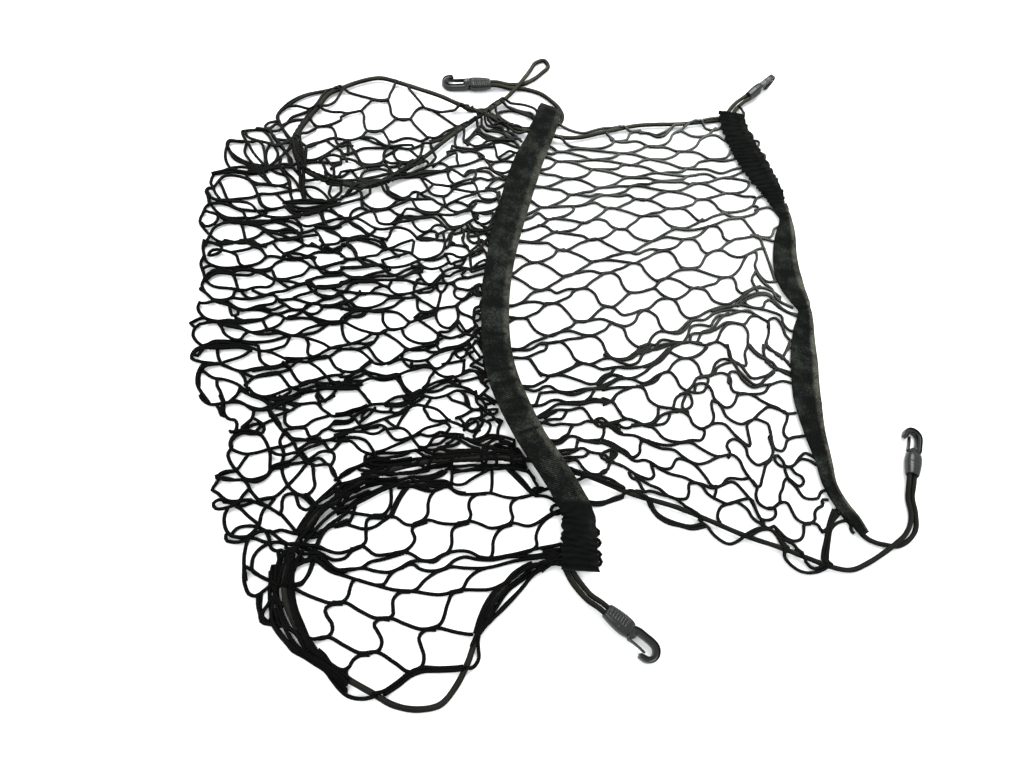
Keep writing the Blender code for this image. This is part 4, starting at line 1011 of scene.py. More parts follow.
# Folded part, middle third.
MID_LEFT = """
204,240 203,247 204,254 206,261 218,267 238,267 262,261 266,257 278,257 284,259 292,260 300,260
307,263 312,267 318,268; 206,241 213,243 222,248 220,252 208,255 211,251 230,252 235,254 241,265
246,267; 225,240 240,243 248,243 254,246 262,245 270,243 277,240 301,242 305,245 314,246 330,251
341,254; 233,252 248,249 255,247 260,249 267,257; 240,240 250,241 256,245 262,250 266,256; 272,242
280,251 291,257 316,257; 283,254 290,252 303,246; 283,256 287,255 291,256 288,259 284,258; 291,253
300,254 308,256 314,253 334,252 341,250; 310,257 314,261 317,266 322,268 330,265 341,262; 312,243
318,247 326,252; 320,240 326,246 334,251; 204,256 201,262 204,274 205,279; 204,268 208,266 213,265;
318,268 321,272 341,272; 205,278 209,273 216,271 230,273 239,291; 206,277 212,271 220,269 228,268
236,269 246,269 256,270 272,267 276,263 281,261; 206,280 214,274 240,275 250,275 256,272 268,276
273,279 277,279 286,279 294,277 302,275 310,267; 250,268 258,271 266,271 272,270 274,275 284,285
290,288 297,286 308,282 312,279 320,277 341,275; 224,270 232,272 240,270 258,272 270,278 274,280
273,284 268,287 260,287 252,288 246,290 240,290; 205,278 202,284 208,295 213,299 220,300 233,296
235,291 246,290; 200,289 206,293 217,302 225,304 233,307 240,310 258,306 276,301 277,297; 205,280
211,285 234,289 241,291 244,295 249,298 266,295 274,295 278,299 293,299 316,303 322,300 332,298
340,295 341,295; 234,298 242,299 260,297 276,292 284,291 298,285 306,284; 252,290 265,295 272,294;
277,280 292,282 300,284 306,283 312,286 318,288 341,286; 306,281 312,279 308,285 312,290 315,292
316,288 314,285; 293,298 300,295 308,293 314,291 318,294 326,296 334,296 340,292 341,292; 280,302
286,305 292,309 306,308 310,305 314,303; 228,300 222,302 214,301 206,303 200,303; 200,302 198,306
204,317 218,321 228,320 238,321 248,320 262,319 275,314 280,315 285,318 302,318 312,319 322,322
332,323 341,322; 229,305 234,316 238,314 238,309; 225,300 240,309 260,310 276,314 292,310 300,310;
256,309 264,308 272,310 280,307; 190,323 204,318 211,321 226,322 236,323 256,321 262,320 265,325
268,330; 200,324 216,322 224,325 242,329 250,332 266,330 280,324 284,319; 200,324 195,328 193,334
201,345 207,348; 218,323 222,328 224,333 241,339 244,335 248,332; 236,318 242,320 248,321; 220,324
240,327 248,331 258,334 268,334 278,333 286,335 304,336; 240,341 250,342 270,341 288,336; 262,331
272,330 296,335 304,330 328,323; 300,335 316,332 328,324; 300,336 324,344 331,348 341,347; 202,346
208,344 214,341 222,341 252,344 258,346 259,352 260,359 263,363 268,366; 207,348 216,346 226,346
236,345 246,346 262,351 278,348 284,346 290,337; 205,346 216,343 240,344; 210,348 222,348 244,348
252,351; 202,347 196,349 192,359 198,361 220,364 244,371 252,369 280,365 288,362 296,361 306,362
316,359 324,358 332,355 340,350 341,350; 203,349 196,356 194,353 202,348; 217,345 219,359 221,363;
251,350 246,354 224,362; 305,337 308,342 309,355 314,357; 262,351 270,352 277,355 290,361; 253,371
264,369 276,368 284,366 290,369 293,374 301,383 308,384; 283,362 291,367 295,363 300,360; 310,359
318,358 326,356 338,369 341,370; 312,364 318,368 328,378 333,382 340,382; 314,380 336,375 341,375;
204,363 200,368 197,382 209,403; 203,366 200,372 199,386; 202,368 208,365 216,364; 203,371 214,378
222,379 237,384 252,396 258,398; 217,380 217,385 220,391 224,402; 222,365 246,374 254,377 262,376
270,375 278,374 286,382 290,387 296,388; 240,372 244,377 247,389; 245,385 253,378 270,373 280,372
288,370; 249,388 253,393 260,396 292,388 300,386 314,382 320,385 328,387 340,386; 240,388 238,393
230,401; 300,384 308,381 316,380 322,378; 292,388 300,390 316,386 322,386; 290,392 284,396 279,400;
272,396 278,398 288,397 296,396 304,393 318,390 336,386; 286,400 300,392 310,390; 318,393 322,398
326,402; 268,396 276,400; 336,390 332,395 327,399; 341,245 347,244 356,252 357,257 370,256 377,255
382,251 394,247 400,244 412,240; 341,241 348,239 364,241 372,243 385,249; 341,238 344,238 352,239;
341,256 342,256 347,259 362,259 383,268 388,273 394,275 406,270 418,266; 361,238 378,241 388,249
396,250 410,253 419,259 434,257 440,254 445,243 444,237; 341,263 342,263 347,260; 356,257 366,264
382,265 388,267 404,266 420,260; 390,249 395,254 400,257; 382,260 398,256 410,252; 382,260 385,265
388,268; 414,242 413,248 412,253; 388,240 382,238; 341,267 352,268 362,267 380,265; 341,272 351,278
360,278 368,275 390,270; 350,278 380,280 398,279 413,273 420,272 424,268 430,269 438,268 450,262;
370,277 380,276 396,275 402,272; 412,266 418,267 424,268; 397,278 404,276 412,272 418,269 422,272;
418,262 424,267 430,269; 424,260 434,260 442,257 446,254; 444,254 452,254 458,257 464,257 470,254
482,249; 446,248 450,245 456,245 468,249 470,253; 450,241 455,244; 462,238 464,243 468,247; 446,255
448,260 450,264 456,262 462,260 466,257; 341,282 343,282 350,280; 345,291 354,282 362,282 378,283
384,286 390,288; 350,281 358,283; 371,292 376,288 388,287 391,291 396,294 404,294 424,289 431,287
436,284; 392,280 390,284 388,288; 393,280 402,280 424,284 446,283; 341,291 358,293 382,294 390,296
406,294; 360,291 358,296 349,301 342,304 341,304; 341,295 344,298 348,301; 350,302 355,306 383,303
388,299 394,298 410,298 416,297; 341,302 346,304 352,308 360,310 388,308 394,306 399,302 404,299;
341,309 354,309 364,310; 412,294 417,297 422,301 428,304 434,308 448,307 455,306 460,302 466,299
472,295 480,292; 419,293 432,291 435,287; 416,285 410,281; 417,280 414,288; 418,272 425,282 429,285;
436,283 440,278 443,273 454,268 466,268; 432,284 436,280 440,276; 441,270 444,274 443,280 446,283
452,284 456,289; 437,285 438,290 441,292 445,289 447,284; 441,292 440,298 437,309; 446,284 453,282
458,279 466,278 482,274; 450,276 456,272 462,270; 454,284 457,288 462,289 469,290 474,287 484,284;
456,288 454,293 457,298 462,299 471,292 476,290; 475,286 479,284 482,293 478,292 476,288; 460,302
457,307 458,313 458,319 454,324 449,328 443,327 436,316 437,310; 417,297 420,311 428,312 436,309;
414,318 419,314 434,312 438,310; 414,319 420,317 428,315; 383,309 383,315 383,321 390,329 398,329
405,327 409,323 414,321 428,317 436,314; 384,311 398,313 408,321; 341,319 344,316 358,311 378,312;
344,318 360,315 366,312; 342,321 364,331 380,333 386,330 394,330 402,328; 342,321 342,328 348,342
352,344; 341,346 350,344 366,338 372,334 380,334 386,331; 384,333 396,340 408,349 422,350 438,344;
402,329 404,335 418,343 438,338 438,333; 420,321 432,329 437,333 450,338 458,336 470,331 475,326;
440,332 447,332 458,323; 341,349 362,348 374,342 378,336; 350,348 358,350 370,359 374,363 390,362
396,358 408,350 416,348 434,344; 368,347 372,352 376,358 381,362; 388,364 403,359 412,361 428,359
434,355 456,348 464,346 470,343; 405,350 402,355 408,366 412,368; 438,341 444,337; 424,349 430,352
438,352; 436,343 438,348 441,352; 440,350 446,348 458,346 472,338 478,332; 412,361 411,366; 426,360
430,364 434,368 450,359 453,353 464,349; 414,366 432,367 434,372 430,377 428,383 423,388; 442,364
450,363 465,360; 457,350 456,355 460,358 466,355 472,352; 464,360 464,366 463,372; 341,371 352,372
372,362; 361,368 366,364 370,361; 341,377 344,377 360,371; 345,380 352,378 360,376 366,372; 341,384
345,384 355,385 365,380 372,378 382,378 392,377 408,371 416,369 424,367 432,368; 362,371 380,380
400,377; 341,388 356,388 366,398 370,402; 362,369 368,372 376,374 386,376 396,374; 396,378 400,383
408,394 416,394 422,390 428,386 458,376 474,371 480,372; 400,378 404,386 418,395 426,391 452,381
462,381 480,377; 434,370 438,374 446,377 454,376; 390,400 396,397 404,396 412,394 420,390 430,392
440,390 448,386 456,386 472,391 477,397; 404,398 424,396 434,398 444,396 460,391 465,396 466,402;
446,380 454,384 460,386; 454,377 460,382; 470,366 478,368 484,372; 463,372 470,370 476,372 484,383
490,379; 477,399 482,394 488,388; 480,240 477,246 472,250 470,256; 470,256 473,268 480,266 486,264;
474,268 466,270 462,276 468,278; 480,246 484,250 488,264 486,272 484,280; 484,260 478,263 474,267;
466,256 464,262 460,266 455,266; 484,268 478,270 472,272; 484,284 486,290 484,297; 472,292 478,296
484,294; 480,306 475,308 474,314 474,320 476,326; 476,313 480,314 479,320 475,321; 456,305 460,312
472,318 475,321; 458,320 462,326 466,331 472,328; 474,322 478,328 480,334; 466,334 478,338 482,342;
470,343 468,349 466,354; 472,346 476,352 480,357; 476,340 480,346 483,352; 472,337 476,330 480,328;
466,350 472,346 476,340; 482,310 476,312; 460,330 464,334 460,337; 478,288 478,294; 470,356 476,362
484,366; 484,356 478,360 472,364; 484,372 480,380 486,386; 486,240 482,246 478,250; 484,250 478,254
472,256; 488,292 482,300; 486,330 480,340 484,350; 488,352 484,362 486,372 482,380; 331,209 336,213
340,217 345,218 350,218; 324,222 332,220 340,218.5 345,218; 322,211 323,217 325,222 327,227; 316,226
325,227 333,227 339,225 344,222 348,219; 326,230 334,232 339,235 342,239 348,238.5; 348,221 354,226
360,229 365,233 368,236; 342,238 348,238.5 354,237 360,236 368,237; 342,239 338,243 330,244.5
322,245; 347,245 341,246.5 336,248.5 331,250.5; 349,239 347,244 348,246.5 352,249 355,254 357,259;
332,251 338,253 343,256 346,259 344,261 338,263 330,265 322,267; 346,258.5 352,259 357,259 361,262
365,266; 339,271 344,268 352,267 360,267 368,266; 322,268 328,272 336,272 341,272 346,275 352,277
360,277 368,278; 316,277 322,277 328,275 333,273; 346,275 350,279 348,282 343,284 336,285 328,286
318,286; 350,280 356,281 362,281; 360,281 354,283 349,287 346,291; 330,287 336,290 343,292 350,292
358,294 366,294; 359,295 354,299 350,301 345,301 340,303 333,305 325,306 320,306; 341,293 343,297
346,300.5; 315,293 320,296 327,298 334,297 341,294; 350,301 354,305 358,308 366,309; 340,304 342,308
348,310 355,310 362,310; 320,306 326,307 333,307 341,308; 342,318 347,315 353,312 358,310; 350,316
356,317 362,316 366,313 361,310.5; 309,303.5 306,306 304,308.5 303,310.5 307,313 311,314 316,313.5
320,311 322,308.5 321.5,306 319,304.5 315,303.5; 303,310.5 299,313.5 295,315.5 289,316.5; 303,310.5
306,314 311,316.5 316,318.5 322,320 328,321.5 336,321.5 342,321; 320,306 325,305.5 330,305.5
336,304.5 340,302.5; 286,358 297,358.5 308,358 318,355 327,350 336,346.5 347,345; 312,319 320,323
328,324 336,324 343,322 349,318; 317,388 328,388.5 338,389 350,389 359,388; 320,383 330,383.5
340,383 350,381.5 361,381; 329,380 340,385.5 352,386 362,385; 350,344 358,343 366,344 372,342;
"""

# Folded part, near third.
NEAR_LEFT = """
502,112 497.5,113.5 499,118 506,123.5 518,128; 200,396 204,401 209,404 224,403 238,401 246,405
262,409 276,403 292,401; 216,404 219,409 221,415; 220,396 223,402 225,415 229,419 235,420 237,424
236,430; 222,404 222,412; 236,396 232,400; 224,403 236,402 244,404 252,409 270,409 286,401 294,399
300,396; 230,402 242,403 254,410 266,408; 242,391 250,395 266,402 270,406; 256,396 264,400 272,404
290,403 300,404 318,404 322,409 328,413 332,416 340,415 347,414; 260,396 276,400 292,396; 270,396
280,401 290,404 296,406 300,405; 280,396 286,400 294,398; 316,396 319,401 320,405; 320,402 328,399
334,396; 284,406 285,412 286,424 290,427 298,427 305,426 312,421 328,416; 270,416 278,415 286,412
292,410 297,406; 275,408 282,409 288,410; 254,410 253,416 240,431; 268,410 280,426 284,432 296,440
304,440 312,440 320,438; 270,411 276,418 280,424; 270,414 282,430 294,442; 252,417 264,427 264,431
260,434; 244,429 256,424 262,424 270,421 276,419; 242,427 248,422 253,418; 256,431 260,427 264,424;
231,432 246,430 262,434; 230,431 236,433 252,431 258,432; 236,436 242,433 250,434 258,434 269,449
270,470; 236,434 232,438 230,444 232,449 238,452 246,454 254,453 278,447 286,446 293,443; 235,437
231,442 232,447; 232,448 228,453 229,459 236,470 246,479 262,477 268,474 271,469 276,466 284,465
312,461; 248,455 244,460 236,470 223,472 218,476 222,479 230,480 246,480 256,482 267,476 272,470;
216,476 230,472 236,471; 217,478 226,478 234,480; 242,478 250,480 266,477 272,469 280,468 288,466;
271,467 278,464 292,460 298,455; 271,469 280,466 300,463; 270,451 276,454 284,455 292,453 300,452
306,449 322,443; 283,434 280,440 284,455 282,462 298,494 304,496; 289,436 294,443 297,450 302,457
308,463 314,465; 286,432 292,438 300,439 320,441 330,440 340,441 347,441; 284,430 300,428 306,429
308,434 312,439; 306,440 312,437 318,435 322,431 328,428 334,422; 314,437 320,440 328,440 336,437
347,434; 298,449 304,455 308,461 304,467 287,486 274,497 258,500; 297,450 304,446 310,442 318,442
324,440; 323,441 330,450 344,438; 308,460 314,456 320,452 334,454 334,460 331,465; 312,461 318,458
328,465; 312,466 320,465 328,464 333,474 338,480; 313,466 314,479 315,485 308,494 296,495; 330,466
334,471 336,477 340,482; 219,479 215,485 212,490 216,492 226,500 252,501 260,504 268,507 281,515;
244,480 248,485 250,490 254,495 263,504 270,507; 249,489 244,494 240,500; 226,500 218,500 213,504
215,508 229,507 244,500 252,500; 224,502 232,503 240,506 248,504 254,502 262,505; 258,500 266,498
275,497; 275,498 271,503 268,507; 234,505 242,510 247,515 258,524; 240,507 238,504 232,503; 228,508
225,514 232,536 240,537 248,536 253,532 258,527 262,513 265,508; 232,534 236,529 250,526 258,527
264,530 272,532 280,530 292,533; 226,535 226,540 232,542 248,539 252,536; 232,536 242,538 252,538
270,543 278,542 286,544; 250,536 262,531 270,531; 266,532 269,538 272,549 276,551 281,550; 272,533
284,542 292,546; 281,514 296,532 300,538; 284,496 282,502 282,509 280,514; 284,496 288,494 294,494;
296,496 301,508 306,510 316,503 330,495 338,488; 302,496 308,501 318,512; 306,494 312,500 318,508
326,510; 313,506 320,499 338,483; 313,508 300,526 297,532; 320,510 312,515 302,527 299,534; 336,500
328,505 320,509 300,536; 340,504 330,509 300,542; 347,506 336,511 327,518 302,546; 347,513 324,530
316,546; 347,520 338,524 328,528 322,535 318,544; 340,496 324,510 318,520 306,540; 300,530 306,532
314,530; 296,534 304,538 320,536; 290,544 298,546 318,546 326,550; 286,548 294,552 304,554 314,553
324,556; 248,540 246,546 244,566 246,580; 268,544 262,547 253,558 252,564 252,570 262,577 268,580;
244,566 248,568 252,570; 278,552 279,560 276,568 270,584; 281,558 285,554 288,549; 284,552 280,562
278,572 274,584; 290,552 282,572 278,586; 294,556 290,566 284,588; 298,560 291,580 289,590; 298,562
306,560 312,557 318,557; 296,566 304,562 312,560; 314,560 310,572 302,584; 320,556 338,570 345,572;
300,548 290,556 284,566 280,578; 303,550 290,574 286,588; 335,416 349,414 356,411 363,409 370,405
378,404 402,403 410,400; 335,414 344,413 352,410 360,408 367,405; 360,391 365,396 368,401 372,405;
384,404 396,397 404,396; 386,406 394,406 402,406 408,403; 404,399 412,400 418,396; 410,404 418,401
424,397; 412,406 418,405 424,406 436,409 452,422 458,424; 430,400 427,404 424,408 427,414 430,419
436,421 450,420; 335,421 350,420 355,416 366,409; 335,424 350,422 354,419; 350,415 355,419 360,425
364,428; 362,416 367,410 382,412 390,412 396,413 408,407; 360,422 372,412 375,408; 364,426 386,418
402,413 409,408; 392,406 390,412; 386,420 391,424 396,427; 397,427 400,421 408,410; 335,431 352,429
358,427 364,428 372,427 380,425 386,428 388,432 397,440 404,439 418,435; 335,435 344,433 364,432
372,434 378,433 384,429; 362,430 370,428 378,427; 388,429 404,429 409,433 412,438 419,447; 335,441
344,438 366,441 374,452; 342,440 350,441 362,451 367,453; 335,447 340,442 346,439; 376,452 384,450
391,447 405,441 418,433 424,429 438,425 446,423 450,427 447,432; 420,434 428,436 434,435 440,432
448,434 456,434 463,435; 367,453 365,458 365,464; 370,454 384,453 394,453 420,450 428,450; 374,452
376,457 384,458 392,457 400,456 408,453; 366,460 372,457 380,458 390,458; 420,447 426,447 434,438
440,436 455,437; 335,480 350,472 356,468 364,465 372,462 380,463 400,462 410,460 430,458; 340,476
348,470 356,467 376,460 388,461 412,458; 366,466 374,468 382,467 392,468 420,468; 370,464 380,466
390,466 410,466; 360,470 370,471 384,468; 390,468 386,473 382,477; 335,485 345,483 375,476 385,477
403,474 411,473 430,469 440,468 450,466; 362,474 372,474 384,476 394,475 416,473 428,471; 335,490
374,481 384,482 404,479 412,477 420,477 436,474 442,471; 345,484 370,480 384,480 396,478; 366,486
376,484 398,484 408,482 438,481 446,481 450,484 452,488; 350,492 366,484 376,482; 355,494 364,489
382,483; 392,484 400,486 408,486 416,485 424,488 432,491; 398,488 434,484 449,484; 412,478 416,482
420,486; 420,487 428,486 438,487 446,486; 338,520 356,504 364,500 388,488 394,486; 338,514 362,497
386,486; 338,507 344,503 368,491; 337,500 342,494 346,488 352,484; 339,504 343,497 354,488; 341,508
346,500 358,490; 336,496 340,488 344,484; 356,502 352,517 349,523; 335,512 345,511 352,513 360,514;
335,527 344,525 350,523; 451,462 452,476 452,483 464,484 470,480 490,469; 492,470 492,485 491,493;
450,488 458,492 466,493; 442,474 448,469 456,470 464,471 472,470 482,470; 420,449 430,450 440,449
450,451 460,450 470,450 480,449; 430,445 438,444 450,437 460,441 454,445 446,446 438,448; 434,451
444,447 452,446 459,443; 460,436 480,445 488,446 496,448; 452,441 446,444; 455,436 470,446 480,449;
440,455 450,453 472,452 494,453; 430,458 460,455 470,454; 426,452 434,454 442,454; 430,462 440,461
476,458; 436,466 446,464 480,462; 424,469 436,467 460,467 472,466 484,467; 430,462 428,467 424,470;
414,468 418,464 430,458; 456,472 468,470 480,468; 420,480 430,478 440,476 446,472; 418,452 424,456
432,458; 452,400 466,405 472,409 480,410 486,408; 461,391 466,396 470,408; 456,418 462,416 474,410
480,409; 476,391 478,404 484,408; 484,394 490,398 496,402; 458,417 463,422 470,431 475,430 478,426
477,421 473,419 468,421 466,426; 462,426 474,432 480,430; 470,419 478,418 484,416; 480,408 482,414
480,420; 486,410 498,410 494,414 488,414 485,411; 490,420 496,419 502,421; 484,420 490,424 486,435
480,438 472,440 466,438; 464,430 470,424 476,421; 500,424 498,430 498,436; 480,440 486,436 500,436
514,440; 470,441 478,442 486,439 494,437; 484,446 496,439 504,438; 496,444 504,444 512,444; 486,450
492,446 500,447 518,449; 484,454 494,452 518,455; 482,458 492,457 516,460; 478,462 490,461 524,465;
480,466 504,466 516,466 526,468; 484,468 496,469 508,468 530,472; 482,456 486,460 484,466; 490,448
498,450 520,452; 500,441 508,442 514,446; 506,468 524,486 530,492 536,496; 508,466 526,484 532,492;
528,470 535,482 538,488 534,492; 530,492 536,488 542,488; 514,468 528,472 534,478; 486,444 482,450
480,458 482,466; 496,448 494,456 496,464; 510,446 512,454 510,462 514,470; 520,452 522,460 526,468;
500,398 494,402 488,404; 494,404 488,400 482,398; 535,496 544,496 552,499 558,504; 560,505 553,506
551,511 554,514 560,513; 466,391 474,394 482,400 486,406; 490,412 494,418 500,424; 482,424 478,430
474,436; 503,103 497,103 491,107 488,112 484,117 476,122; 457,107 463,110 472,111 482,109.5 487,111
491,108; 462,112 468,113 473,117 479,120; 492,108 496,113 501,118 507,122 515,126 524,128; 489,113
492,118 497,122 503,125 510,128 520,131; 480,122 484,121 492,122 499,124 504,128 508,133 514,136;
481,122 483,128 490,131 498,132 504,134 510,137 520,139; 476,124 480,131 486,136 491,139 498,139
503,137; 503,105 510,108 515,111 523,114 531,117;
"""

# Strands drawn down together left of the lobe.
FAN = """
244,568 244,580 246,588 249,594 254,596 266,589 278,578 284,566; 252,570 263,578 270,581 278,586;
272,566 270,604 272,616 275,628 299,651; 276,566 275,592 277,604 286,627 294,632 301,640 305,650;
280,566 277,592 284,618 290,629 297,636 303,646; 284,564 273,602 271,614 274,626 282,636 298,652;
289,560 289,576 289,592 299,630 313,652 324,661; 292,560 291,594 293,608 302,632 308,644 317,654
328,662; 294,558 293,590 295,604 304,628 309,640 316,650; 258,596 258,606 260,614 261,621 275,625;
261,594 262,616 268,622 276,623; 272,598 267,606 262,614 264,621; 272,600 272,610 276,618 280,626;
275,610 277,618; 270,620 276,630 293,649 302,655 332,675 346,690; 284,626 289,636 303,652 312,658;
296,651 316,661 346,685; 302,650 322,663 342,678 347,683; 306,646 316,655 326,661 335,668 346,674;
308,642 330,664 340,670 347,671; 276,588 292,585 300,585; 270,572 272,584 282,608; 388,186 396,182
404,179 411,177.5 420,176.5 430,174.5 440,172 450,170.5; 391,183.5 400,179.5 410,176.5 420,173.5
432,172 444,171; 395,180 404,177.5 412,175 422,172.5; 551,564 546,568 539,571 530,578 524,586
518,593 510,602 500,612 490,621 483,629 477,637; 548,562 538,569 528,576 518,583 510,589 503,597
498,605 492,614 486,622 479,632; 542,567 532,576 525,584 519,591 512,598 504,606 497,614 489,623;
"""

# Lobe that hangs forward over the near edge.
LOBE = """
541,549 551,546.5 567,544; 543,552 552,550 567,549; 548,556 556,553.5 568,552; 545,561 555,558
569,557; 543,566 552,562 569,562; 541,572 549,566 557,565.5 570,567; 590,528 597,529.5 599.5,532.5
597,535 590,535; 590,540 597,539 600.5,542 598.5,545.5 590,546; 590,551 598,551.5 601,554 599,556.5
590,556; 589,558 598,557.5 601.5,561 600,564.5 589,564; 400,483 417,488 427,491 433,491 448,487
457,493 475,494 490,493 505,497 515,498 550,488; 436,489 430,497 428,505 428,513 424,519 413,524;
486,494 476,495 470,500 469,508 471,514 469,520 457,523; 528,496 518,498 511,504 511,511 513,518
511,522 500,527; 391,484 389,508 384,514 373,515; 408,484 401,493 394,506 389,517 383,521 376,526
366,529 352,526 345,524 325,529 310,538; 410,485 403,494 391,518; 315,506 375,516 397,518 405,524
413,525 420,522 428,520 440,523 455,524 470,521 480,524 490,528 500,527 513,523 527,526 553,513
566,508; 427,522 412,529 415,539 406,550 394,553; 469,523 453,529 451,547 447,553 436,559; 512,525
502,528 493,543 493,550 491,557 480,557; 554,514 544,521 536,538 537,545 532,550 522,554; 383,518
367,520 366,527 366,536 366,541 361,546 350,549; 300,543 323,549 338,553 348,551 361,546 376,555
390,554 405,552 413,555 421,560 433,560 442,555 470,552 480,557 510,555 535,549 562,544; 300,548
315,551 336,560 345,558 352,551 361,547; 340,570 350,569 361,568 370,562 380,560 404,553; 312,556
334,569 350,570 362,568 375,571 390,572 400,568 410,562 425,561 434,562 442,556 449,553; 403,567
412,564 420,569 445,568 455,560 465,557 475,559 492,560 508,557 530,556 556,552; 440,570 450,567
465,568 485,568 515,561 558,556; 404,567 393,572 388,578 384,584 374,585; 448,568 437,572 425,580
415,590 404,592; 490,567 478,571 468,579 462,589 450,592; 308,556 318,562 330,571 345,576 375,585
395,590 410,591 445,594 455,591 495,588 508,582 520,573 532,566; 365,582 354,580 350,588 348,596
342,602 332,602; 410,592 399,593 393,600 393,608 393,615 388,618 378,618; 463,591 452,594 448,603
439,625 428,629; 505,584 494,592 479,618 474,634; 288,585 305,594 320,600 330,603 343,602 360,611
375,618 390,618 405,624 420,629 438,628 455,632 472,635; 343,604 331,605 325,609 327,616 332,624
332,632 327,637 318,639; 390,620 378,620 374,624 378,632 382,642 379,650 370,653; 436,630 424,631
419,637 421,646 424,656 422,666 412,671; 300,634 308,639 328,637 345,646 360,653 376,652 395,663
410,672 420,668 440,668 462,667; 370,655 359,656 353,660 349,667 341,671 330,668; 420,671 410,673
396,683 382,692 372,695; 462,670 440,671 421,672 411,676 398,686 384,695; 296,548 304,560 311,560
309,572 302,582 293,585 284,588; 275,626 284,638 292,650 304,657 316,665 326,672 332,680 350,697
362,699 376,697; 318,650 324,655 330,664 350,680; 464,669 472,668 478,661 477,640 482,622 500,596
524,575 536,566 548,562; 470,648 476,634 482,616 498,590 508,580 516,572 530,564;
"""


class Layer(Enum):
    """The layers of the folded net: name, and width in metres when spread flat."""

    SINGLE = ("net_lower_layer", 0.30)
    TURNED = ("net_turned_layer", 0.25)
    UPPER = ("net_upper_layer", 0.28)


@dataclass
class Net:
    """Knitted yarns that meet in short double links, each laid along its own line.

    One layer lies between the bands.  Beside the middle band the net is folded over:
    there two layers cross each other, and a lobe of the upper one hangs forward.
    """

    cord: EdgeCord
    finish: YarnFinish = field(default_factory=YarnFinish)
    thick: float = 3.2
    folded_thick: float = 3.1
    sides: int = 8
    step: float = 2.6
    # How dark the folded layers' copy of the yarn is: painted shade.
    shade: float = 0.42
    low: tuple = (0.5, 0.62, 0.74)
    high: tuple = (1.1, 1.25, 1.4)
    reach: float = 8.0
    climb: float = 4.0
    flat_long: float = 0.53
    least_cover: float = 0.3

    def build(self) -> None:
        material = self.finish.material("knitted_yarn")
        # The folded layers take a darker copy of the same yarn: painted shade.
        shaded = self.finish.material("knitted_yarn_painted_shade", self.shade)
        single = self.laid(FAR_FIELD + MID_FIELD + CORNER + EDGE_LOOPS, self.thick, self.low)
        both = [level for pair in zip(self.low, self.high) for level in pair]
        folded = self.laid(FAR_LEFT + MID_LEFT + NEAR_LEFT + FAN, self.folded_thick, both)
        lobe = self.laid(LOBE, self.folded_thick, self.low)
        single = self.tied(single, single)
        folded = self.tied(folded, folded + lobe)
        self.layer(Layer.SINGLE, single, self.thick, material)
        self.layer(Layer.TURNED, folded[::2], self.folded_thick, shaded)
        self.layer(Layer.UPPER, folded[1::2] + lobe, self.folded_thick, shaded)

    def tied(self, lines: Sequence[Array], others: Sequence[Array]) -> list[Array]:
        """Carry every loose end on to the nearest other yarn within reach.

        The point taken has the least distance * 1.7 - 0.7 * distance ahead of the end, so
        one in front is preferred to one behind, and the yarn's own points cost more.

        Args:
            lines: the yarns to tie.
            others: all the yarns that they may meet, the same yarns first.

        Returns:
            The yarns, some of them longer.
        """
        spots = np.concatenate(others)
        owner = np.repeat(np.arange(len(others)), [len(line) for line in others])
        done = []
        for number, line in enumerate(lines):
            for side in (0, 1):
                end, before = (line[0], line[2]) if side == 0 else (line[-1], line[-3])
                away = spots[:, :2] - end[:2]
                gap = np.linalg.norm(away, axis=1)
                last = (end - before)[:2]
                heading = last / max(float(np.linalg.norm(last)), 1e-6)
                cost = gap * 1.7 - 0.7 * (away @ heading) + (owner == number) * self.reach * 3
                best = int(cost.argmin())
                if self.step / 3 < gap[best] < self.reach:
                    count = max(int(gap[best] / self.step), 1) + 1
                    bridge = np.linspace(spots[best], end, count)[:-1]
                    line = np.concatenate([bridge, line] if side == 0 else [line, bridge[::-1]])
            done.append(line)
        return done

    def laid(self, table: str, thick: float, levels: Sequence[float]) -> list[Array]:
        """Lines of a table's strands, on the table top and over the cords they meet.

        A line rises over a cord by exp(-(distance / climb) ^ 2) of what clears it.

        Args:
            table: points u,v along each strand; a semicolon ends a strand.
            thick: thickness of the yarn.
            levels: heights of the yarns' middles in thicknesses, taken in turn.

        Returns:
            One line for each strand.
        """
        cords = np.concatenate([line[::3] for line in self.cord.lines.values()])
        strands = []
        for number, text in enumerate(t for t in table.split(";") if t.strip()):
            points = [tuple(map(float, point.split(","))) for point in text.split()]
            height = thick * levels[number % len(levels)]
            line = even_line(seen_at(points, height), self.step)
            foot, gap = nearest_on(cords, line)
            rise = np.exp(-(gap / self.climb) ** 2) * (foot[:, 2] + CORD / 2 + thick / 2 - height)
            line[:, 2] += rise.clip(0)
            strands.append(line)
        return strands

    def layer(self, layer: Layer, lines: Sequence[Array], thick: float,
              material: bpy.types.Material) -> None:
        """Args:
            layer: which of them.
            lines: middle line of each yarn.
            thick: thickness of the yarn.
            material: its finish.
        """
        name, width = layer.value
        surface = Surface.joined([sweep(line[None], thick / 2, self.sides) for line in lines])
        piece = link_piece(name, surface, material)
        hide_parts("net")
        length = sum(float(run_along(line)[-1]) for line in lines)
        cloth = math.pi * thick * length * MM ** 2 / 2
        LOG.info("%s: %.1f m of yarn", name, length * MM)


# ---------------------------------------------------------------- bands
class Station(NamedTuple):
    """A place along a band: middle line, height of its lower side, width, roll and gather."""

    x: float
    y: float
    height: float
    wide: float
    tilt: float
    gather: float


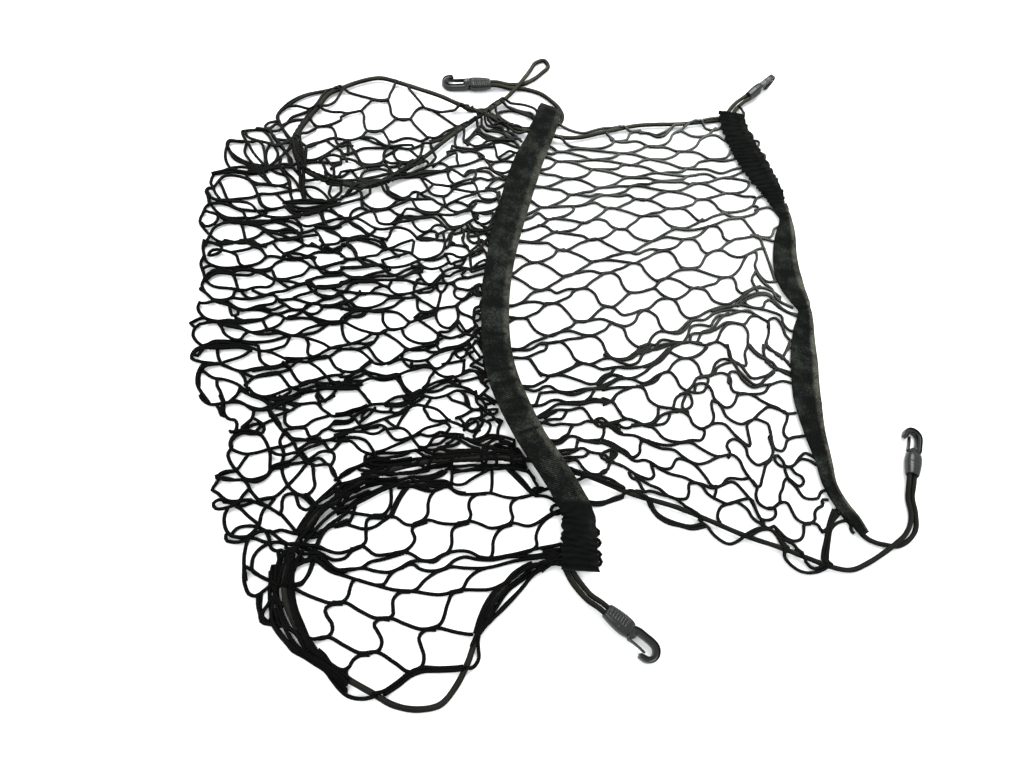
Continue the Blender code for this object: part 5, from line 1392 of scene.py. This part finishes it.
CENTRE_BAND = tuple(Station(*row) for row in (
    (16, 277, ON_TWO, 26, 0, 0), (11, 265, ON_CORD, 28, 0, 0), (-1, 233, ON_CORD, 28, 0, 0),
    (-9, 216, 8.6, 29, 0, 0), (-18, 199, 6.6, 31, 0, 0), (-31, 168, ON_TWO, 33, 0, 0),
    (-45, 129, ON_TWO, 32, 0, 0), (-59, 87, ON_TWO, 30, 0, 0), (-70, 49, ON_TWO, 29, 0, 0),
    (-78, 10, ON_TWO, 28, 0, 0), (-82, -24, ON_TWO, 28, 0, 0), (-83, -55, ON_TWO, 29, 0, 0),
    (-80, -82, ON_TWO, 30, 0, 0), (-74, -105, ON_TWO, 30, 0, 0), (-68, -125, 6.6, 29, 0, 0),
    (-61, -147, ON_CORD, 28, 0, 0), (-50, -168, ON_CORD, 28, 0, 0),
    (-40, -189, ON_CORD, 28, 0, 0), (-32, -206, 7.5, 29, 0, 0), (-31, -208, 7.3, 29, 0, 0.35),
    (-28, -218, ON_TWO, 30, 0, 0.6), (-29, -231, ON_TWO, 32, 0, 1),
    (-31, -244, ON_TWO, 32, 0, 1), (-34, -266, ON_TWO, 34, 0, 1),
))
# Places along the centre band of painted shadows of creases.
CENTRE_CREASE_SHADOWS = (296, 329, 349, 368, 382, 401, 412, 435)
RIGHT_BAND = tuple(Station(*row) for row in (
    (253, 293, ON_TWO, 33, 0, 1), (251, 273, 4.2, 37, 0, 1), (254, 252, ON_ONE, 39, 0, 1),
    (258, 231, ON_ONE, 40, 0, 1), (263, 209, ON_ONE, 40, 0, 1), (269, 189, ON_ONE, 38, 0, 1),
    (275, 168, ON_ONE, 30, 0, 1), (277, 151, ON_ONE, 21, 0, 0.8), (279, 134, ON_ONE, 12, 38, 0),
    (278, 121, ON_ONE, 15, 20, 0), (273, 104, ON_ONE, 23, 8, 0), (267, 84, ON_ONE, 28, 0, 0),
    (262, 63, ON_ONE, 31, 0, 0), (260, 44, ON_ONE, 33, 0, 0), (261, 28, ON_ONE, 29, 0, 0),
    (263, 14, ON_ONE, 21, 8, 0), (264, 1, ON_ONE, 13, 30, 0), (262, -10, ON_ONE, 17, 12, 0),
    (256, -26, ON_ONE, 23, 5, 0), (246, -61, ON_ONE, 31, 0, 0), (235, -109, ON_ONE, 31, 0, 0),
    (232, -141, ON_ONE, 24, 0, 0), (232, -174, ON_ONE, 18, 0, 0), (231, -199, ON_ONE, 15, 0, 0),
    (238, -222, 2.8, 14, 0, 0), (245, -235, 3.4, 13, 0, 0), (251, -249, 3.4, 10, 0, 0),
))
# Places along the right band of painted shadows of creases.
RIGHT_CREASE_SHADOWS = (165, 203, 297, 322)


@dataclass
class Band:
    """A folded strip of binding, drawn up into ruffles where it is gathered.

    dusty_edge, black, slant and crease_shadows are those of BandFinish.material; the last are
    painted shadows of creases.
    """

    node: str
    stations: Sequence[Station]
    dusty_edge: float
    black: tuple
    slant: float
    crease_shadows: Sequence[float]
    finish: BandFinish = field(default_factory=BandFinish)
    lift: float = 0.8
    thick: float = 2.0
    columns: int = 22
    step: float = 1.1
    ruffle: float = 6.4
    ruffle_high: float = 1.5
    under_high: float = 0.7
    edge_thin: float = 0.35
    flap: float = 0.9
    sway: float = 0.8
    under_wide: float = 0.985

    def build(self) -> None:
        """Make the strip.

        A ring goes round the strip at each step: along its upper side from left to
        right, then back along the lower.  The upper side is crowned, waves a little
        and, where gathered, rises and falls in ruffles that lean from edge to edge.
        """
        table = np.array(self.stations, float)
        run = run_along(table[:, :2])
        at = np.arange(0, run[-1] + self.step / 2, self.step)
        middle = through(run, table[:, :2], at)
        height, wide, tilt = (np.interp(at, run, table[:, k])[:, None] for k in range(2, 5))
        ahead = np.gradient(middle, axis=0)
        ahead /= np.linalg.norm(ahead, axis=1, keepdims=True)
        slope = np.radians(tilt)
        left = np.concatenate([-ahead[:, 1:] * np.cos(slope), ahead[:, :1] * np.cos(slope),
                               np.sin(slope)], axis=1)
        up = np.cross(np.concatenate([ahead, np.zeros_like(slope)], axis=1), left)
        share = np.cos(np.linspace(0, math.pi, self.columns + 1))[None] / 2
        share = np.sign(share) * np.abs(share * 2) ** 0.8 / 2
        a = at[:, None]
        gather = smooth_step(np.interp(a + self.slant * share, run, table[:, 5]))
        phase = (TURN * a / self.ruffle + 1.6 * np.sin(a / 11.0) + 2.4 * share * np.sin(a / 9.0)
                 + 0.9 * np.sin(9 * share + a / 3.7))
        ruffles = gather * (0.5 - 0.5 * np.cos(phase)) * (0.9 + 0.8 * np.abs(share) * 2)
        ruffles += gather * 0.22 * np.sin(phase * 2.3 + 14 * share)
        crown = (1 - np.abs(2 * share) ** 6) ** 0.5
        calm = 1 - 0.7 * gather
        sway = calm * (0.28 * np.sin(a / 13.0 + 3 * share)
                       + 0.22 * np.sin(a / 5.3 - 5 * share) + 0.5)
        flap = self.flap * (1 - smooth_step((gather * 3).clip(0, 1)))
        half = self.thick / 2 * (self.edge_thin + (1 - self.edge_thin) * crown)
        top = half + ruffles * self.ruffle_high + sway * crown * self.sway + flap
        low = -half + ruffles * self.under_high
        spread = 1 + gather * np.abs(share) * (0.07 * np.cos(phase)
                                               + 0.06 * np.sin(a / 2.1) * np.sin(a / 5.3))
        frill = gather * 0.02 * np.sin(phase * 0.5)
        raised = height + self.lift + self.thick / 2 + wide / 2 * np.abs(np.sin(slope))
        place = np.concatenate([middle, raised], axis=1)
        offset = -left[:, None] * (wide * (share * spread + frill))[..., None]
        upper = place[:, None] + offset + up[:, None] * top[..., None]
        lower = place[:, None] + offset * self.under_wide + up[:, None] * low[..., None]
        rings = np.concatenate([upper, lower[:, ::-1]], axis=1)
        around = np.concatenate([share[0] + 0.5, share[0, ::-1] + 0.5, share[0, :1] + 0.5])
        surface = skin(rings[None], at[None], around)
        material = self.finish.material(self.node + "_weave", self.dusty_edge, self.black,
                                        self.slant, self.crease_shadows)
        piece = link_piece(self.node + "_cloth", surface, material)
        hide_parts(self.node)


# ---------------------------------------------------------------- snap hooks
I_BEAM = (
    (1, -0.72), (1, 0.72), (0.9, 1), (0.64, 1), (0.5, 0.5), (0.2, 0.42), (-0.2, 0.42),
    (-0.5, 0.5), (-0.64, 1), (-0.9, 1), (-1, 0.72), (-1, -0.72), (-0.9, -1), (-0.64, -1),
    (-0.5, -0.5), (-0.2, -0.42), (0.2, -0.42), (0.5, -0.5), (0.64, -1), (0.9, -1),
)
LEAF = (
    (1, -0.7), (1, 0.7), (0.7, 1), (0.3, 0.72), (-0.3, 0.72), (-0.7, 1), (-1, 0.7), (-1, -0.7),
    (-0.7, -1), (-0.3, -0.72), (0.3, -0.72), (0.7, -1),
)


class Bar(NamedTuple):
    """A place along a moulded bar: middle, width in the hook's plane, thickness and web depth."""

    x: float
    y: float
    wide: float
    thick: float
    web: float


@dataclass
class Hook:
    """A moulded snap hook: ribbed sleeve, I-section claw and hinged spring gate."""

    number: int
    finish: PlasticFinish = field(default_factory=PlasticFinish)
    sleeve_long: float = 24.5
    sleeve_sides: int = 56
    sleeve_table: tuple = ((0.0, 12.6, 9.8), (7.4, 15.0, 11.4), (14.7, 16.4, 12.0),
                           (20.8, 16.2, 12.0), (23.8, 15.2, 11.2), (24.5, 14.0, 10.2))
    sleeve_square: float = 0.78
    seam: tuple = (13.9, 0.32, 0.035)
    mouth_rings: tuple = ((6.5, 0.78), (0.7, 0.8), (0.15, 0.84), (0, 0.9))
    closing_rings: tuple = ((0.12, 0.93), (0.15, 0.8))
    rib_pitch: float = 2.55
    rib_high: float = 0.8
    arm_line: float = 4.2
    bend: tuple = (46.2, -3.2, 7.4)
    finger: tuple = (42.0, -11.4)
    base: float = 24.8
    gate_line: float = -6.6
    smooth: float = 32.0

    def place(self, surface: Surface) -> Surface:
        """Turn a surface from the hook's own frame into its place on the table."""
        matrix = np.array(HOOKS[self.number].frame())
        return surface._replace(points=surface.points @ matrix[:3, :3].T + matrix[:3, 3])

    def sleeve(self) -> Surface:
        """The sleeve: rounded rectangles along X, ribbed on one flat side.

        A ring's corner at angle a stands at y = -w/2 cos a and z = t/2 sin a, each share
        raised to sleeve_square.  Raised ribs follow a sharpened cosine along X where the flat upper
        side faces the arm.  Rings inside the mouth make its dark hollow.  sleeve_table
        holds x, w and t; seam is a groove's place, width and depth; the rings at each end
        hold a distance and the share of the section's size there.
        """
        x = np.concatenate([np.linspace(0.0, 22.6, 95), np.linspace(22.9, self.sleeve_long, 7)])
        table = np.array(self.sleeve_table)
        wide, thick = (np.interp(x, table[:, 0], table[:, k]) for k in (1, 2))
        soft = through(table[:, 0], table[:, 1:], x)
        wide, thick = np.minimum(wide + 0.1, soft[:, 0]), np.minimum(thick + 0.1, soft[:, 1])
        lip = 1 - 0.06 * (1 - smooth_step(x / 0.8))
        at, broad, deep = self.seam
        seam = 1 - deep * np.exp(-((x - at) / broad) ** 2)
        a = np.linspace(0, TURN, self.sleeve_sides, endpoint=False)
        c, t = np.cos(a), np.sin(a)
        y = -np.sign(c) * np.abs(c) ** self.sleeve_square * (wide * lip * seam / 2)[:, None]
        z = np.sign(t) * np.abs(t) ** self.sleeve_square * (thick * lip * seam / 2)[:, None]
        rib = (0.5 + 0.5 * np.cos(TURN * (x - 1.6) / self.rib_pitch)) ** 1.6
        rib = rib * smooth_step(x / 1.5) * smooth_step((20.4 - x) / 1.5)
        strip = (smooth_step((t - 0.45) / 0.2) * smooth_step((y + 2.2) / 1.0)
                 * smooth_step((6.2 - y) / 1.0))
        z = z + strip * (rib[:, None] - 0.62) * self.rib_high
        rings = np.stack([np.broadcast_to(x[:, None], y.shape), y, z], axis=-1)
        first = rings[:1] * [0, 1, 1]
        hollow = [first * [1, k, k] + [depth, 0, 0] for depth, k in self.mouth_rings]
        last = rings[-1:]
        closing = [last * [1, k, k] + [d, 0, 0] for d, k in self.closing_rings]
        rings = np.concatenate(hollow + [rings] + closing)
        return skin(rings[None], run_along(rings[None, :, 0]))

    def bar(self, table: Sequence[Bar], profile: Sequence[tuple], step: float) -> Surface:
        """A profile carried along a bar.

        A corner (u, v) stands at middle + u wide/2 side + v thick/2 up, and the web's
        corners (those nearer than 0.6 to the middle) move out to full thickness as web
        goes to 0.

        Args:
            table: places along the bar.
            profile: corners u, v of the section.
            step: distance between rings.

        Returns:
            The bar's surface.
        """
        rows = np.array(table, float)
        line = even_line(rows, step)
        ahead = np.gradient(line[:, :2], axis=0)
        ahead /= np.linalg.norm(ahead, axis=1, keepdims=True)
        side = np.stack([ahead[:, 1], -ahead[:, 0]], axis=1)
        u, v = np.array(profile, float).T
        filled = 0.97 - (0.97 - np.abs(v)) * np.clip(line[:, 4:5], 0, 1)
        high = np.where(np.abs(u) < 0.6, np.sign(v) * filled, v)
        reach = (line[:, 2:3] / 2 * u)[..., None] * side[:, None]
        up = (line[:, 3:4] / 2 * high)[..., None]
        rings = np.concatenate([line[:, None, :2] + reach, up], axis=-1)
        return skin(rings[None], run_along(rings[None, :, 0]))

    def claw(self) -> Surface:
        """Base block, straight arm, round bend and returning finger with a small bulb."""
        x0, (cx, cy, radius) = self.base, self.bend
        table = [Bar(x0, 0.0, 13.2, 8.0, 0), Bar(x0 + 1.4, 0.1, 12.9, 7.9, 0),
                 Bar(x0 + 2.6, 1.0, 10.6, 7.6, 0.2), Bar(x0 + 4.2, 2.5, 8.0, 7.0, 0.7),
                 Bar(x0 + 7.0, 3.9, 6.4, 6.3, 1), Bar(x0 + 12, self.arm_line, 6.0, 6, 1)]
        turn = np.radians(np.linspace(90, -84, 13))
        table += [Bar(cx + radius * math.cos(t), cy + radius * math.sin(t), 6.0 - 0.06 * i, 6.0, 1)
                  for i, t in enumerate(turn)]
        fx, fy = self.finger
        table += [Bar(fx + 2.4, fy + 0.55, 4.9, 5.8, 0.7), Bar(fx + 1.2, fy + 0.3, 4.7, 5.6, 0.3),
                  Bar(fx + 0.4, fy + 0.0, 4.0, 5.0, 0), Bar(fx, fy - 0.1, 2.2, 3.4, 0)]
        return self.bar(table, I_BEAM, 0.55)

    def gate(self) -> Surface:
        """The leaf: a round knuckle at its hinge, a thin waist and a bevelled tip."""
        x0, y = self.base + 3.4, self.gate_line
        table = [Bar(x0 - 1.0, y, 0.8, 4.0, 0), Bar(x0 - 0.7, y, 1.7, 4.5, 0),
                 Bar(x0, y, 2.3, 4.7, 0), Bar(x0 + 0.9, y, 2.0, 4.7, 0),
                 Bar(x0 + 2.2, y + 0.05, 1.6, 4.6, 0.5),
                 Bar(x0 + 5, y + 0.2, 1.45, 4.6, 1), Bar(x0 + 9, y + 0.3, 1.4, 4.5, 1),
                 Bar(x0 + 13, y + 0.15, 1.3, 4.3, 1), Bar(x0 + 15.6, y, 1.2, 4.0, 0.4),
                 Bar(x0 + 16.7, y - 0.05, 0.8, 3.4, 0)]
        return self.bar(table, LEAF, 0.6)

    def build(self) -> None:
        """Make the three mouldings."""
        name = f"hook_{self.number + 1}"
        satin = self.finish.material(name + "_satin", Gloss.SATIN)
        dull = self.finish.material(name + "_dull", Gloss.DULL)
        for node, surface, material, slot, body in (
                ("sleeve", self.sleeve(), satin, "hook", ROOT),
                ("claw", self.claw(), satin, "hook", ROOT),
                ("gate", self.gate(), dull, "gate", f"gate_{self.number + 1}")):
            piece = link_piece(f"{name}_{node}_moulding", self.place(surface), material,
                               body, self.smooth)
            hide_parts(f"{name}_{node}")


# ---------------------------------------------------------------- studio
@dataclass(frozen=True)
class Studio:
    """Table top, soft lights and the camera."""

    sight: Sight = Sight()
    sensor: float = 36.0
    half: float = 2600.0
    rows: int = 9
    below: float = 0.12
    world: tuple = (0.96, 0.98, 1.0, 1.0)
    strength: float = 1.15
    lamps: tuple = (("key", (0.5, 1.1, 1.9), 1.6, 62.0), ("fill", (-1.4, -0.6, 1.7), 1.8, 34.0))

    def build(self) -> None:
        """Make the floor, the lights and the camera."""
        self.floor()
        self.lights()
        self.camera()

    def floor(self) -> None:
        """A wide, flat sheet just under the part."""
        side = np.linspace(-self.half, self.half, self.rows)
        x, y = np.meshgrid(side, side)
        points = np.stack([x, y, np.full_like(x, -self.below)], -1).reshape(-1, 3)
        number = np.arange(x.size).reshape(x.shape)
        quads = np.stack([number[:-1, :-1], number[:-1, 1:], number[1:, 1:], number[1:, :-1]], -1)
        mesh = bpy.data.meshes.new("floor")
        mesh.from_pydata((points * MM).tolist(), [], quads.reshape(-1, 4).tolist())
        mesh.materials.append(TableFinish().material("table_top"))
        floor = bpy.data.objects.new("floor", mesh)
        bpy.context.scene.collection.objects.link(floor)

    def lights(self) -> None:
        """Even white surroundings and two large soft lamps overhead."""
        world = bpy.data.worlds.new("studio")
        world.use_nodes = True
        backdrop = world.node_tree.nodes["Background"]
        backdrop.inputs["Color"].default_value = self.world
        backdrop.inputs["Strength"].default_value = self.strength
        bpy.context.scene.world = world
        bpy.context.scene.view_settings.view_transform = "Standard"
        for name, spot, size, power in self.lamps:
            lamp = bpy.data.lights.new(name, "AREA")
            lamp.shape = "DISK"
            lamp.size = size
            lamp.energy = power
            holder = bpy.data.objects.new(name, lamp)
            holder.location = spot
            holder.rotation_euler = (-Vector(spot)).to_track_quat("-Z", "Y").to_euler()
            bpy.context.scene.collection.objects.link(holder)

    def camera(self) -> None:
        """A camera that looks down from the near left."""
        data = bpy.data.cameras.new("camera")
        data.sensor_width = self.sensor
        data.lens = self.sight.focal_px / self.sight.wide_px * self.sensor
        data.clip_start = 0.01
        holder = bpy.data.objects.new("camera", data)
        spot = (np.array(self.sight.spot) - CENTRE) * MM
        holder.matrix_world = Matrix.Translation(Vector(spot)) @ self.sight.matrix().to_4x4()
        bpy.context.scene.collection.objects.link(holder)
        bpy.context.scene.camera = holder


def main() -> None:
    """Build the net piece by piece and report each."""
    logging.basicConfig(level=logging.INFO, format="%(message)s")
    Studio().build()
    cord = EdgeCord()
    cord.build()
    Net(cord=cord).build()
    Band("centre_band", CENTRE_BAND, 0.5, (505.0, 512.0), 16.0, CENTRE_CREASE_SHADOWS).build()
    Band("right_band", RIGHT_BAND, 0.9, (178.0, 135.0), 0.0, RIGHT_CREASE_SHADOWS).build()
    for number in range(len(HOOKS)):
        Hook(number).build()


if __name__ == "__main__":
    main()
